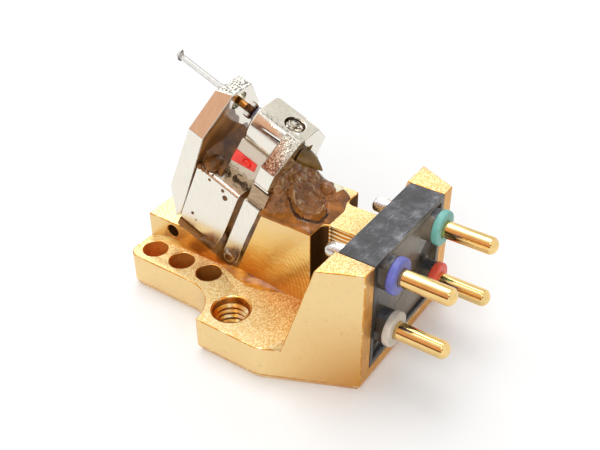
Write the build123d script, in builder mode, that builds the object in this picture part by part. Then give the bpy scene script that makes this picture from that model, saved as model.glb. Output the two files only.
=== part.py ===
from build123d import *
import os
from math import cos, radians, sin, tan

# Open-bodied moving-coil cartridge lying on its mounting face, stylus up. All sizes in millimetres.
# The origin is midway between the two mounting screws, on the mounting face.
# +Y points to the stylus end, -Y to the terminal pins, +X to the right seen from the pins.

# Mounting plate
MOUNT_SPACING = 12.7
SCREW_D = 2.5
SCREW_MOUTH = 0.1
SCREW_WALL = 0.86
PLATE_T = 2.85
PLATE_FRONT = 10.1
PLATE_REAR = -9.77
WING_HALF = 5.63
WIDE_HALF = MOUNT_SPACING / 2 + SCREW_D / 2 + SCREW_WALL
WIDE_FRONT = 1.39
SIDE_REAR = -3.56
REAR_HALF = 5.70
WING_CORNER_R = 0.9
SIDE_CORNER_R = 2.0
BOTTOM_CHAMFER_W = 0.27
BOTTOM_CHAMFER_H = 0.5
BLIND_HOLE_D = 1.8
BLIND_HOLE_DEPTH = 2.1
BLIND_HOLE_X = 4.18
BLIND_HOLE_FIRST = 8.66
BLIND_HOLE_PITCH = 2.49
BLIND_HOLE_COUNT = 3

# Ears and the slot that the terminal block sits in
EAR_TOP = 9.70
EAR_FRONT = -6.95
EAR_FOOT = -5.02
SLOT_HALF = 4.6
SLOT_FRONT = -7.15
SLOT_FLOOR = 1.30

# Spine with the generator's seat, and the neck behind it
SPINE_HALF = 3.0
SPINE_TOP = 8.66
FRONT_BLOCK_TOP = 4.81
CROSS_HOLE_D = 0.95
CROSS_HOLE_Y = 7.89
CROSS_HOLE_Z = 4.05
NECK_HALF = 1.4
POCKET_FRONT = -4.13
POCKET_R = 0.55

# Terminal block, pins, collars and solder
BLOCK_FIT = 0.02
BLOCK_RIM = 0.4
BLOCK_RECESS = 0.25
BOSS_D = 2.3
BOSS_H = 0.45
PIN_D = 1.2
PIN_SHANK_D = 1.3
PIN_X = 2.97
PIN_LOW = 3.91
PIN_HIGH = 8.26
PIN_TIP = -14.43
PIN_NOSE = 0.5
PIN_FIT = 0.01
TAIL_D = 0.8
TAIL_L = 1.7
COLLAR_D = 2.5
COLLAR_T = 0.55
COLLAR_BREAK = 0.12
SOLDER_D = 1.3
SOLDER_CAP = 0.15
SOLDER_BREAK = 0.32

# Generator: the cantilever's axis leaves the front yoke's front face at (0, AXIS_Y, AXIS_Z).
# Depth runs back from that face along the axis, and rise runs up the face.
AXIS_Y = 4.70
AXIS_Z = 15.17
TILT = 22.25

# Front yoke
YOKE_T = 1.26
YOKE_TOP = 0.66
YOKE_TOP_HALF = 1.25
YOKE_TOP_RAKE = 15.3
YOKE_HALF = 3.12
YOKE_SHOULDER = -1.78
YOKE_HEEL = -9.85
YOKE_FOOT = -10.4
YOKE_FOOT_HALF = 2.58
YOKE_FOOT_DEPTH = 0.9
YOKE_TOE = -7.9
YOKE_FLARE = 0.22
YOKE_TOE_R = 1.0
YOKE_HOLE_D = 1.4
EDGE_BREAK = 0.06

# Rear yoke with its round pole, the spacer and leg below it
POLE_GAP = 1.95
POLE_R = 1.78
POLE_L = 2.39
POLE_CHAMFER = 0.15
REAR_YOKE_T = 1.20
REAR_YOKE_TOP = 1.37
REAR_YOKE_TOP_HALF = 1.06
REAR_YOKE_HALF = 3.0
REAR_YOKE_SHOULDER = -0.57
REAR_YOKE_FOOT = -2.04
SPACER_H = 1.94
LEG_FOOT = -9.95
LEG_HALF = 2.92
LEG_T = 1.38

# Pole block, magnet and its polarity mark
POLE_BLOCK_HALF = 2.85
POLE_BLOCK_L = 3.64
POLE_BLOCK_TOP = -4.3
POLE_BLOCK_ROUND = 0.28
MAGNET_HALF = 1.75
MAGNET_TOP = -0.85
MAGNET_LEAN = 0.3
MARK_T = 0.06
MARK_TOP = -1.9
MARK_L = 1.78
MARK_H = 0.68
MARK_DROP = 0.4

# Clamp screw, wire sleeve and tie wire
CLAMP_D = 1.36
CLAMP_FIT = 0.03
CLAMP_SUNK = 0.12
CLAMP_SLOT_W = 0.26
CLAMP_SLOT_DEPTH = 0.3
CLAMP_BACK = 0.07
SLEEVE_D = 0.76
SLEEVE_FIT = 0.02
SLEEVE_BORE = 0.34
WIRE_D = 0.14
WIRE_IN_SLEEVE = 0.4

# Coil former, windings and damper
FORMER_SIDE = 1.0
FORMER_T = 0.36
COIL_T = 0.07
COIL_W = 0.56
DAMPER_D = 1.1
DAMPER_T = 0.4
DAMPER_GAP = 0.1

# Cantilever pipe and rod, stylus and its bead
PIPE_D = 0.52
PIPE_OUT = 0.15
PIPE_GRIP = 1.0
ROD_D = 0.40
ROD_FIT = 0.01
ROD_REACH = 4.13
STYLUS_SET_BACK = 0.22
STYLUS_SIDE = 0.2
STYLUS_TAIL = 0.21
STYLUS_NECK = 0.3
STYLUS_RISE = 0.57
STYLUS_TIP = 0.03
BEAD_D = 0.36
BEAD_DROP = 0.38
BEAD_BREAK = 0.1

# Adhesive and potting resin
YOKE_GLUE = 0.1
WALL_GLUE = 0.24
FLOOR_GLUE = 0.45
GLUE_INSET = 0.45
FILLET_RISE = 0.8
FILLET_LOW = 0.4
POT_NEAR = -2.9
POT_FAR = 2.8
POT_CROWN_H = 2.92
POT_WAIST_Y = -2.2
POT_WAIST_H = 1.2
POT_BROW_Y = -3.5
POT_BROW_H = 0.6
POT_REAR = -4.1
POT_RIDGE_X = 0.6
POT_FAR_H = 0.5
POT_BARE_X = 1.8
POT_BARE_Y = -3.0
POT_ROUND = 0.25
DROP_R = 0.8
DROP_L = 1.7
DROP_WAIST_R = 0.56
DROP_WAIST_L = 0.8
DROP_TIP_R = 0.05

os.makedirs("parts", exist_ok=True)

# Depths behind the front yoke's face, and the rises that follow from the sizes above
POLE_FRONT = YOKE_T + POLE_GAP
REAR_YOKE_FRONT = POLE_FRONT + POLE_L
REAR_YOKE_BACK = REAR_YOKE_FRONT + REAR_YOKE_T
LEG_FRONT = REAR_YOKE_BACK - LEG_T
SEAT_WALL = REAR_YOKE_BACK + WALL_GLUE
SEAT_FLOOR = LEG_FOOT - FLOOR_GLUE
SPACER_FOOT = REAR_YOKE_FOOT - SPACER_H
POLE_BLOCK_FRONT = YOKE_T + YOKE_GLUE
POLE_BLOCK_BACK = POLE_BLOCK_FRONT + POLE_BLOCK_L
DAMPER_BACK = POLE_FRONT - DAMPER_GAP
DAMPER_FRONT = DAMPER_BACK - DAMPER_T
COIL_BACK = DAMPER_FRONT - DAMPER_GAP
FORMER_BACK = COIL_BACK - 2 * COIL_T
FORMER_FRONT = FORMER_BACK - FORMER_T
COIL_FRONT = FORMER_FRONT - 2 * COIL_T
CLAMP_DEPTH = REAR_YOKE_FRONT - CLAMP_BACK
STYLUS_DEPTH = STYLUS_SET_BACK - ROD_REACH

SIN = sin(radians(TILT))
COS = cos(radians(TILT))

# Faced: looking along the axis from the stylus, depth is the normal. Sided: depth and rise in the sketch.
FACED = Plane(origin=(0, AXIS_Y, AXIS_Z), x_dir=(1, 0, 0), z_dir=(0, -COS, -SIN))
SIDED = Plane(origin=(0, AXIS_Y, AXIS_Z), x_dir=(0, -COS, -SIN), z_dir=(-1, 0, 0))


def tilted(depth, rise):
    """The (y, z) of a point of the generator on the plane of symmetry."""
    return (AXIS_Y - depth * COS - rise * SIN, AXIS_Z - depth * SIN + rise * COS)


def upward(depth, rise):
    """A plane that looks up the rise direction, for what stands across the axis."""
    return Plane(origin=(0, *tilted(depth, rise)), x_dir=(1, 0, 0), z_dir=(0, -SIN, COS))


def rise_at(depth, height):
    """The rise at which a plane of constant depth reaches a height above the mounting face."""
    return (height - AXIS_Z + depth * SIN) / COS


def depth_at(rise, height):
    """The depth at which a plane of constant rise comes down to a height above the mounting face."""
    return (AXIS_Z + rise * COS - height) / SIN


def save(piece, name):
    """Labels a finished piece and writes it."""
    piece.part.label = name
    export_step(piece.part, f"parts/{name}.step")


# Body: plate and ears in side view, cut to the plan outline, then the spine and the holes
with BuildPart() as body:
    with BuildSketch(Plane.YZ):
        with BuildLine():
            Polyline(
                (PLATE_FRONT, 0),
                (PLATE_FRONT, PLATE_T),
                (EAR_FOOT, PLATE_T),
                (EAR_FRONT, EAR_TOP),
                (PLATE_REAR, EAR_TOP),
                (PLATE_REAR, 0),
                close=True,
            )
        make_face()
    extrude(amount=WIDE_HALF, both=True)
    with BuildSketch(Plane.XY) as plan:
        notch_r = WIDE_HALF - WING_HALF
        with BuildLine():
            Polyline((0, PLATE_REAR), (REAR_HALF, PLATE_REAR), (WIDE_HALF, SIDE_REAR), (WIDE_HALF, WIDE_FRONT))
            CenterArc((WIDE_HALF, WIDE_FRONT + notch_r), notch_r, 180, 90)
            Polyline((WING_HALF, WIDE_FRONT + notch_r), (WING_HALF, PLATE_FRONT), (0, PLATE_FRONT), (0, PLATE_REAR))
        make_face()
        mirror(about=Plane.YZ)
        fillet(plan.vertices().group_by(Axis.Y)[-1], WING_CORNER_R)
        fillet(plan.vertices().group_by(Axis.Y)[1], SIDE_CORNER_R)
    extrude(amount=EAR_TOP, mode=Mode.INTERSECT)
    underside = body.faces().sort_by(Axis.Z)[0]
    chamfer(underside.outer_wire().edges(), BOTTOM_CHAMFER_W, BOTTOM_CHAMFER_H, reference=underside)
    # The gap between the ears, above the plate
    with BuildSketch(Plane.XY.offset(PLATE_T)):
        with Locations((0, (EAR_FOOT + PLATE_REAR) / 2)):
            Rectangle(2 * SLOT_HALF, EAR_FOOT - PLATE_REAR)
    extrude(amount=EAR_TOP - PLATE_T, mode=Mode.SUBTRACT)
    # Spine: front block, tilted seat, and a flat top back to the terminal block
    with BuildSketch(Plane.YZ):
        with BuildLine():
            Polyline(
                (PLATE_FRONT, PLATE_T / 2),
                (PLATE_FRONT, FRONT_BLOCK_TOP),
                tilted(depth_at(SEAT_FLOOR, FRONT_BLOCK_TOP), SEAT_FLOOR),
                tilted(SEAT_WALL, SEAT_FLOOR),
                tilted(SEAT_WALL, rise_at(SEAT_WALL, SPINE_TOP)),
                (SLOT_FRONT, SPINE_TOP),
                (SLOT_FRONT, PLATE_T / 2),
                close=True,
            )
        make_face()
    extrude(amount=SPINE_HALF, both=True)
    # Pockets either side of the neck
    with BuildSketch(Plane.XY.offset(PLATE_T)) as pockets:
        with BuildLine():
            Polyline(
                (NECK_HALF, SLOT_FRONT),
                (SPINE_HALF, SLOT_FRONT),
                (SPINE_HALF, POCKET_FRONT),
                (NECK_HALF, POCKET_FRONT),
                close=True,
            )
        make_face()
        fillet(pockets.vertices().group_by(Axis.Y)[-1].sort_by(Axis.X)[0], POCKET_R)
        mirror(about=Plane.YZ)
    extrude(amount=SPINE_TOP - PLATE_T, mode=Mode.SUBTRACT)
    # Slot for the terminal block
    with BuildSketch(Plane.XY.offset(SLOT_FLOOR)):
        with Locations((0, (SLOT_FRONT + PLATE_REAR) / 2)):
            Rectangle(2 * SLOT_HALF, SLOT_FRONT - PLATE_REAR)
    extrude(amount=EAR_TOP - SLOT_FLOOR, mode=Mode.SUBTRACT)
    # Screw holes, to the thread's outside diameter, with a broken edge at the mouth
    with BuildSketch(Plane.XY):
        with Locations((MOUNT_SPACING / 2, 0), (-MOUNT_SPACING / 2, 0)):
            Circle(SCREW_D / 2)
    extrude(amount=PLATE_T, mode=Mode.SUBTRACT)
    rims = body.edges().filter_by(GeomType.CIRCLE).filter_by(lambda e: abs(e.radius - SCREW_D / 2) < 1e-6)
    chamfer(rims.group_by(Axis.Z)[-1], SCREW_MOUTH)
    # Rows of blind holes in the wings
    with BuildSketch(Plane.XY.offset(PLATE_T)):
        for row in range(BLIND_HOLE_COUNT):
            y = BLIND_HOLE_FIRST - row * BLIND_HOLE_PITCH
            with Locations((BLIND_HOLE_X, y), (-BLIND_HOLE_X, y)):
                Circle(BLIND_HOLE_D / 2)
    extrude(amount=-BLIND_HOLE_DEPTH, mode=Mode.SUBTRACT)
    # Cross hole through the front block
    with BuildSketch(Plane.YZ):
        with Locations((CROSS_HOLE_Y, CROSS_HOLE_Z)):
            Circle(CROSS_HOLE_D / 2)
    extrude(amount=SPINE_HALF, both=True, mode=Mode.SUBTRACT)
save(body, "body")

# Terminal block: a plain moulding with a shallow rear recess and a boss round each pin
PIN_PLACES = {
    "blue": (-PIN_X, PIN_HIGH),
    "green": (PIN_X, PIN_HIGH),
    "white": (-PIN_X, PIN_LOW),
    "red": (PIN_X, PIN_LOW),
}
BLOCK_FRONT = SLOT_FRONT - BLOCK_FIT
BLOCK_FLOOR = SLOT_FLOOR + BLOCK_FIT
RECESS_FLOOR = PLATE_REAR + BLOCK_RECESS
BOSS_REAR = PLATE_REAR - BOSS_H
with BuildPart() as terminal_block:
    with BuildSketch(Plane.XY.offset(BLOCK_FLOOR)):
        with Locations((0, (BLOCK_FRONT + PLATE_REAR) / 2)):
            Rectangle(2 * (SLOT_HALF - BLOCK_FIT), BLOCK_FRONT - PLATE_REAR)
    extrude(amount=EAR_TOP - BLOCK_FLOOR)
    with BuildSketch(Plane.XZ.offset(-PLATE_REAR)):
        with Locations((0, (EAR_TOP + BLOCK_FLOOR) / 2)):
            Rectangle(2 * (SLOT_HALF - BLOCK_RIM), EAR_TOP - BLOCK_FLOOR - 2 * BLOCK_RIM)
    extrude(amount=-BLOCK_RECESS, mode=Mode.SUBTRACT)
    with BuildSketch(Plane.XZ.offset(-RECESS_FLOOR)):
        with Locations(*PIN_PLACES.values()):
            Circle(BOSS_D / 2)
    extrude(amount=RECESS_FLOOR - BOSS_REAR)
    with BuildSketch(Plane.XZ.offset(-BLOCK_FRONT)):
        with Locations(*PIN_PLACES.values()):
            Circle(PIN_SHANK_D / 2 + PIN_FIT)
    extrude(amount=BLOCK_FRONT - BOSS_REAR, mode=Mode.SUBTRACT)
save(terminal_block, "terminal_block")

# One turned pin, collar and solder joint for each lead.
# The pin's shank is stouter than its free end, and tapers down to it inside the collar.
TAIL_END = BLOCK_FRONT + TAIL_L
COLLAR_REAR = BOSS_REAR - COLLAR_T
for colour, (x, z) in PIN_PLACES.items():
    # The sketch's first axis runs back along the pin, and its second is the radius
    lengthwise = Plane(origin=(x, 0, z), x_dir=(0, -1, 0), z_dir=(0, 0, 1))
    centre_line = Axis((x, 0, z), (0, -1, 0))
    with BuildPart() as pin:
        with BuildSketch(lengthwise):
            with BuildLine():
                Polyline(
                    (-PIN_TIP, 0),
                    (-TAIL_END, 0),
                    (-TAIL_END, TAIL_D / 2),
                    (-BLOCK_FRONT, TAIL_D / 2),
                    (-BLOCK_FRONT, PIN_SHANK_D / 2),
                    (-BOSS_REAR, PIN_SHANK_D / 2),
                    (-COLLAR_REAR, PIN_D / 2),
                    (-PIN_TIP - PIN_NOSE, PIN_D / 2),
                )
                EllipticalCenterArc((-PIN_TIP - PIN_NOSE, 0), PIN_NOSE, PIN_D / 2, 0, arc_size=90)
            make_face()
        revolve(axis=centre_line)
    save(pin, f"terminal_pin_{colour}")

    with BuildPart() as collar:
        with BuildSketch(lengthwise):
            with BuildLine():
                Polyline(
                    (-BOSS_REAR, PIN_SHANK_D / 2 + PIN_FIT),
                    (-COLLAR_REAR, PIN_D / 2 + PIN_FIT),
                    (-COLLAR_REAR, COLLAR_D / 2 - COLLAR_BREAK),
                    (-COLLAR_REAR - COLLAR_BREAK, COLLAR_D / 2),
                    (-BOSS_REAR, COLLAR_D / 2),
                    close=True,
                )
            make_face()
        revolve(axis=centre_line)
    save(collar, f"pin_collar_{colour}")

    with BuildPart() as solder:
        with BuildSketch(lengthwise):
            with BuildLine():
                Polyline(
                    (-TAIL_END - SOLDER_CAP, 0),
                    (-TAIL_END, 0),
                    (-TAIL_END, TAIL_D / 2),
                    (-BLOCK_FRONT, TAIL_D / 2),
                    (-BLOCK_FRONT, SOLDER_D / 2),
                    (-TAIL_END - SOLDER_CAP + SOLDER_BREAK, SOLDER_D / 2),
                    (-TAIL_END - SOLDER_CAP, SOLDER_D / 2 - SOLDER_BREAK),
                    close=True,
                )
            make_face()
        revolve(axis=centre_line)
    save(solder, f"solder_joint_{colour}")

# Front yoke: a plate with bevelled shoulders, a raked top and a toe that swells and then runs out thin
bevel_slope = (YOKE_HALF - YOKE_TOP_HALF) / (YOKE_TOP - YOKE_SHOULDER)
YOKE_CREST = YOKE_TOP + YOKE_T * tan(radians(YOKE_TOP_RAKE))
YOKE_CREST_HALF = YOKE_TOP_HALF - bevel_slope * (YOKE_CREST - YOKE_TOP)
with BuildPart() as front_yoke:
    with BuildSketch(SIDED) as yoke_side:
        with BuildLine():
            Polyline(
                (0, YOKE_TOP),
                (0, YOKE_SHOULDER),
                (-YOKE_FLARE, YOKE_TOE),
                (YOKE_FOOT_DEPTH, YOKE_FOOT),
                (YOKE_T, YOKE_HEEL),
                (YOKE_T, YOKE_CREST),
                close=True,
            )
        make_face()
        fillet(yoke_side.vertices().sort_by(Axis.X)[0], YOKE_TOE_R)
    extrude(amount=YOKE_HALF, both=True)
    with BuildSketch(FACED.offset(-YOKE_FLARE)):
        with BuildLine():
            Polyline(
                (0, YOKE_FOOT),
                (YOKE_FOOT_HALF, YOKE_FOOT),
                (YOKE_HALF, YOKE_SHOULDER),
                (YOKE_CREST_HALF, YOKE_CREST),
                (0, YOKE_CREST),
                close=True,
            )
        make_face()
        mirror(about=Plane.YZ)
    extrude(amount=YOKE_T + YOKE_FLARE, mode=Mode.INTERSECT)
    back = front_yoke.faces().filter_by(lambda f: f.normal_at().dot(FACED.z_dir) > 0.999)
    chamfer(back.edges(), EDGE_BREAK)
    with BuildSketch(FACED):
        Circle(YOKE_HOLE_D / 2)
    extrude(amount=YOKE_T, mode=Mode.SUBTRACT)
save(front_yoke, "front_yoke")

# Rear yoke: plate and round pole in one piece, with one flat along the top of both
with BuildPart() as rear_yoke:
    with BuildSketch(FACED.offset(REAR_YOKE_FRONT)):
        with BuildLine():
            Polyline(
                (0, REAR_YOKE_FOOT),
                (REAR_YOKE_HALF, REAR_YOKE_FOOT),
                (REAR_YOKE_HALF, REAR_YOKE_SHOULDER),
                (REAR_YOKE_TOP_HALF, REAR_YOKE_TOP),
                (0, REAR_YOKE_TOP),
                close=True,
            )
        make_face()
        mirror(about=Plane.YZ)
    extrude(amount=REAR_YOKE_T)
    chamfer(rear_yoke.edges(), EDGE_BREAK)
    with BuildSketch(FACED.offset(REAR_YOKE_FRONT + EDGE_BREAK)):
        Circle(POLE_R)
    extrude(amount=-POLE_L - EDGE_BREAK)
    chamfer(rear_yoke.edges().filter_by(GeomType.CIRCLE).sort_by(Axis.Y)[-1], POLE_CHAMFER)
    with BuildSketch(upward(CLAMP_DEPTH, REAR_YOKE_TOP)):
        Rectangle(2 * POLE_R, 2 * (CLAMP_DEPTH - POLE_FRONT + EDGE_BREAK))
    extrude(amount=POLE_R - REAR_YOKE_TOP + EDGE_BREAK, mode=Mode.SUBTRACT)
    with BuildSketch(upward(CLAMP_DEPTH, REAR_YOKE_TOP)):
        Circle(CLAMP_D / 2 + CLAMP_FIT)
    extrude(amount=-REAR_YOKE_TOP, mode=Mode.SUBTRACT)
    with BuildSketch(FACED.offset(POLE_FRONT)):
        Circle(SLEEVE_D / 2 + SLEEVE_FIT)
    extrude(amount=POLE_L + REAR_YOKE_T, mode=Mode.SUBTRACT)
save(rear_yoke, "rear_yoke")

# Spacer and a thicker leg that carry the rear yoke, with their backs in line
with BuildPart() as yoke_spacer:
    with BuildSketch(FACED.offset(REAR_YOKE_FRONT)):
        with Locations((0, (REAR_YOKE_FOOT + SPACER_FOOT) / 2)):
            Rectangle(2 * LEG_HALF, SPACER_H)
    extrude(amount=REAR_YOKE_T)
    chamfer(yoke_spacer.edges(), EDGE_BREAK)
save(yoke_spacer, "yoke_spacer")

with BuildPart() as rear_leg:
    with BuildSketch(FACED.offset(LEG_FRONT)):
        with Locations((0, (SPACER_FOOT + LEG_FOOT) / 2)):
            Rectangle(2 * LEG_HALF, SPACER_FOOT - LEG_FOOT)
    extrude(amount=LEG_T)
    chamfer(rear_leg.edges(), EDGE_BREAK)
save(rear_leg, "rear_leg")

# Pole block behind the front yoke, and the magnet on it, notched over the leg and grooved for the pole
with BuildPart() as pole_block:
    with BuildSketch(FACED.offset(POLE_BLOCK_FRONT)):
        with Locations((0, (POLE_BLOCK_TOP + LEG_FOOT) / 2)):
            Rectangle(2 * POLE_BLOCK_HALF, POLE_BLOCK_TOP - LEG_FOOT)
    extrude(amount=POLE_BLOCK_L)
    fillet(pole_block.edges().filter_by(Axis((0, 0, 0), FACED.z_dir)), POLE_BLOCK_ROUND)
save(pole_block, "pole_block")


def magnet_front(rise):
    """The depth of the magnet's front, which leans forward as it goes down."""
    return POLE_FRONT - MAGNET_LEAN * (MAGNET_TOP - rise) / (MAGNET_TOP - POLE_BLOCK_TOP)


with BuildPart() as magnet:
    with BuildSketch(SIDED):
        with BuildLine():
            Polyline(
                (magnet_front(MAGNET_TOP), MAGNET_TOP),
                (REAR_YOKE_FRONT, MAGNET_TOP),
                (REAR_YOKE_FRONT, SPACER_FOOT),
                (LEG_FRONT, SPACER_FOOT),
                (LEG_FRONT, POLE_BLOCK_TOP),
                (magnet_front(POLE_BLOCK_TOP), POLE_BLOCK_TOP),
                close=True,
            )
        make_face()
    extrude(amount=MAGNET_HALF, both=True)
    with BuildSketch(FACED.offset(POLE_FRONT)):
        Circle(POLE_R)
    extrude(amount=POLE_L, mode=Mode.SUBTRACT)
save(magnet, "magnet")

with BuildPart() as polarity_mark:
    mark_foot = MARK_TOP - MARK_H
    with BuildSketch(SIDED.offset(MAGNET_HALF)):
        with BuildLine():
            Polyline(
                (magnet_front(MARK_TOP), MARK_TOP),
                (magnet_front(MARK_TOP) + MARK_L, MARK_TOP),
                (magnet_front(MARK_TOP) + MARK_L, mark_foot),
                (magnet_front(mark_foot - MARK_DROP), mark_foot - MARK_DROP),
                close=True,
            )
        make_face()
    extrude(amount=MARK_T)
save(polarity_mark, "polarity_mark")

# Clamp screw, which grips the wire's sleeve in the pole's bore
with BuildPart() as clamp_screw:
    with BuildSketch(upward(CLAMP_DEPTH, SLEEVE_D / 2)):
        Circle(CLAMP_D / 2)
    extrude(amount=REAR_YOKE_TOP - CLAMP_SUNK - SLEEVE_D / 2)
    with BuildSketch(upward(CLAMP_DEPTH, REAR_YOKE_TOP - CLAMP_SUNK)):
        Rectangle(CLAMP_SLOT_W, CLAMP_D)
    extrude(amount=-CLAMP_SLOT_DEPTH, mode=Mode.SUBTRACT)
save(clamp_screw, "clamp_screw")

with BuildPart() as wire_sleeve:
    with BuildSketch(FACED.offset(POLE_FRONT)):
        Circle(SLEEVE_D / 2)
        Circle(SLEEVE_BORE / 2, mode=Mode.SUBTRACT)
    extrude(amount=POLE_L + REAR_YOKE_T)
save(wire_sleeve, "wire_sleeve")

with BuildPart() as tie_wire:
    with BuildSketch(FACED.offset(DAMPER_FRONT)):
        Circle(WIRE_D / 2)
    extrude(amount=POLE_FRONT + WIRE_IN_SLEEVE - DAMPER_FRONT)
save(tie_wire, "tie_wire")

with BuildPart() as damper_ring:
    with BuildSketch(FACED.offset(DAMPER_FRONT)):
        Circle(DAMPER_D / 2)
        Circle(WIRE_D / 2, mode=Mode.SUBTRACT)
    extrude(amount=DAMPER_T)
save(damper_ring, "damper_ring")

# Square coil former standing on a corner, with a winding across each pair of sides
DIAGONAL = Plane(origin=FACED.origin, x_dir=(1, -SIN, COS), z_dir=FACED.z_dir)
with BuildPart() as coil_former:
    with BuildSketch(DIAGONAL.offset(FORMER_FRONT)):
        Rectangle(FORMER_SIDE, FORMER_SIDE)
    extrude(amount=FORMER_T)
save(coil_former, "coil_former")

with BuildPart() as coil_left:
    with BuildSketch(DIAGONAL.offset(FORMER_FRONT - COIL_T)):
        Rectangle(FORMER_SIDE + 2 * COIL_T, COIL_W)
    extrude(amount=FORMER_T + 2 * COIL_T)
    with BuildSketch(DIAGONAL.offset(FORMER_FRONT)):
        Rectangle(FORMER_SIDE, COIL_W)
    extrude(amount=FORMER_T, mode=Mode.SUBTRACT)
save(coil_left, "coil_left")

with BuildPart() as coil_right:
    with BuildSketch(DIAGONAL.offset(COIL_FRONT)):
        Rectangle(COIL_W, FORMER_SIDE + 2 * COIL_T)
    extrude(amount=COIL_BACK - COIL_FRONT)
    with BuildSketch(DIAGONAL.offset(FORMER_FRONT - COIL_T)):
        Rectangle(COIL_W, FORMER_SIDE)
    extrude(amount=FORMER_T + 2 * COIL_T, mode=Mode.SUBTRACT)
save(coil_right, "coil_right")

# Cantilever: a pipe on the former, with the rod cemented into its front end
with BuildPart() as cantilever_pipe:
    with BuildSketch(FACED.offset(-PIPE_OUT)):
        Circle(PIPE_D / 2)
    extrude(amount=COIL_FRONT + PIPE_OUT)
    with BuildSketch(FACED.offset(-PIPE_OUT)):
        Circle(ROD_D / 2 + ROD_FIT)
    extrude(amount=PIPE_GRIP, mode=Mode.SUBTRACT)
save(cantilever_pipe, "cantilever_pipe")

with BuildPart() as cantilever_rod:
    with BuildSketch(FACED.offset(-ROD_REACH)):
        Circle(ROD_D / 2)
    extrude(amount=ROD_REACH - PIPE_OUT + PIPE_GRIP)
    with BuildSketch(upward(STYLUS_DEPTH, -ROD_D / 2)):
        Rectangle(STYLUS_SIDE, STYLUS_SIDE)
    extrude(amount=ROD_D, mode=Mode.SUBTRACT)
save(cantilever_rod, "cantilever_rod")

with BuildPart() as stylus_diamond:
    with BuildSketch(upward(STYLUS_DEPTH, -STYLUS_TAIL)):
        Rectangle(STYLUS_SIDE, STYLUS_SIDE)
    extrude(amount=STYLUS_TAIL + STYLUS_NECK)
    with BuildSketch(upward(STYLUS_DEPTH, STYLUS_NECK)):
        Rectangle(STYLUS_SIDE, STYLUS_SIDE)
    with BuildSketch(upward(STYLUS_DEPTH, STYLUS_RISE)):
        Rectangle(STYLUS_TIP, STYLUS_TIP)
    loft()
save(stylus_diamond, "stylus_diamond")

with BuildPart() as stylus_bead:
    with BuildSketch(upward(STYLUS_DEPTH, -BEAD_DROP)):
        Circle(BEAD_D / 2)
    extrude(amount=BEAD_DROP)
    chamfer(stylus_bead.edges().filter_by(GeomType.CIRCLE).sort_by(Axis.Z)[0], BEAD_BREAK)
    with BuildSketch(FACED.offset(-ROD_REACH)):
        Circle(ROD_D / 2)
    extrude(amount=ROD_REACH, mode=Mode.SUBTRACT)
    with BuildSketch(upward(STYLUS_DEPTH, -STYLUS_TAIL)):
        Rectangle(STYLUS_SIDE, STYLUS_SIDE)
    extrude(amount=STYLUS_TAIL, mode=Mode.SUBTRACT)
save(stylus_bead, "stylus_bead")

# Adhesive between the front yoke, the pole block and the magnet, with a fillet in the corner
with BuildPart() as yoke_adhesive:
    with BuildSketch(SIDED):
        with BuildLine():
            Polyline(
                (YOKE_T, LEG_FOOT + GLUE_INSET),
                (POLE_BLOCK_FRONT, LEG_FOOT + GLUE_INSET),
                (POLE_BLOCK_FRONT, POLE_BLOCK_TOP),
                (magnet_front(POLE_BLOCK_TOP), POLE_BLOCK_TOP),
                (magnet_front(POLE_BLOCK_TOP + FILLET_LOW), POLE_BLOCK_TOP + FILLET_LOW),
                (POLE_BLOCK_FRONT + FILLET_RISE, POLE_BLOCK_TOP + FILLET_LOW),
                (YOKE_T, POLE_BLOCK_TOP + FILLET_RISE),
                close=True,
            )
        make_face()
    extrude(amount=YOKE_FOOT_HALF - GLUE_INSET, both=True)
save(yoke_adhesive, "yoke_adhesive")

with BuildPart() as leg_adhesive:
    with BuildSketch(FACED.offset(POLE_BLOCK_BACK)):
        with Locations((0, (POLE_BLOCK_TOP + LEG_FOOT) / 2)):
            Rectangle(2 * (POLE_BLOCK_HALF - GLUE_INSET), POLE_BLOCK_TOP - LEG_FOOT - 2 * POLE_BLOCK_ROUND)
    extrude(amount=LEG_FRONT - POLE_BLOCK_BACK)
save(leg_adhesive, "leg_adhesive")

# Adhesive that beds the generator on the seat's floor and wall
with BuildPart() as seat_adhesive:
    with BuildSketch(SIDED):
        with BuildLine():
            Polyline(
                (depth_at(SEAT_FLOOR, FRONT_BLOCK_TOP), SEAT_FLOOR),
                (SEAT_WALL, SEAT_FLOOR),
                (SEAT_WALL, rise_at(SEAT_WALL, SPINE_TOP)),
                (REAR_YOKE_BACK, rise_at(REAR_YOKE_BACK, SPINE_TOP)),
                (REAR_YOKE_BACK, LEG_FOOT),
                (POLE_BLOCK_FRONT, LEG_FOOT),
                close=True,
            )
        make_face()
    extrude(amount=LEG_HALF, both=True)
save(seat_adhesive, "seat_adhesive")

# Drop of resin over the wire's end, drawn out to a point behind the rear yoke
with BuildPart() as wire_drop:
    with BuildSketch(SIDED):
        with BuildLine():
            Polyline(
                (REAR_YOKE_BACK, 0),
                (REAR_YOKE_BACK, DROP_R),
                (REAR_YOKE_BACK + DROP_WAIST_L, DROP_WAIST_R),
                (REAR_YOKE_BACK + DROP_L, DROP_TIP_R),
                (REAR_YOKE_BACK + DROP_L, 0),
                close=True,
            )
        make_face()
    revolve(axis=Axis(FACED.origin, FACED.z_dir))
save(wire_drop, "wire_drop")

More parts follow.
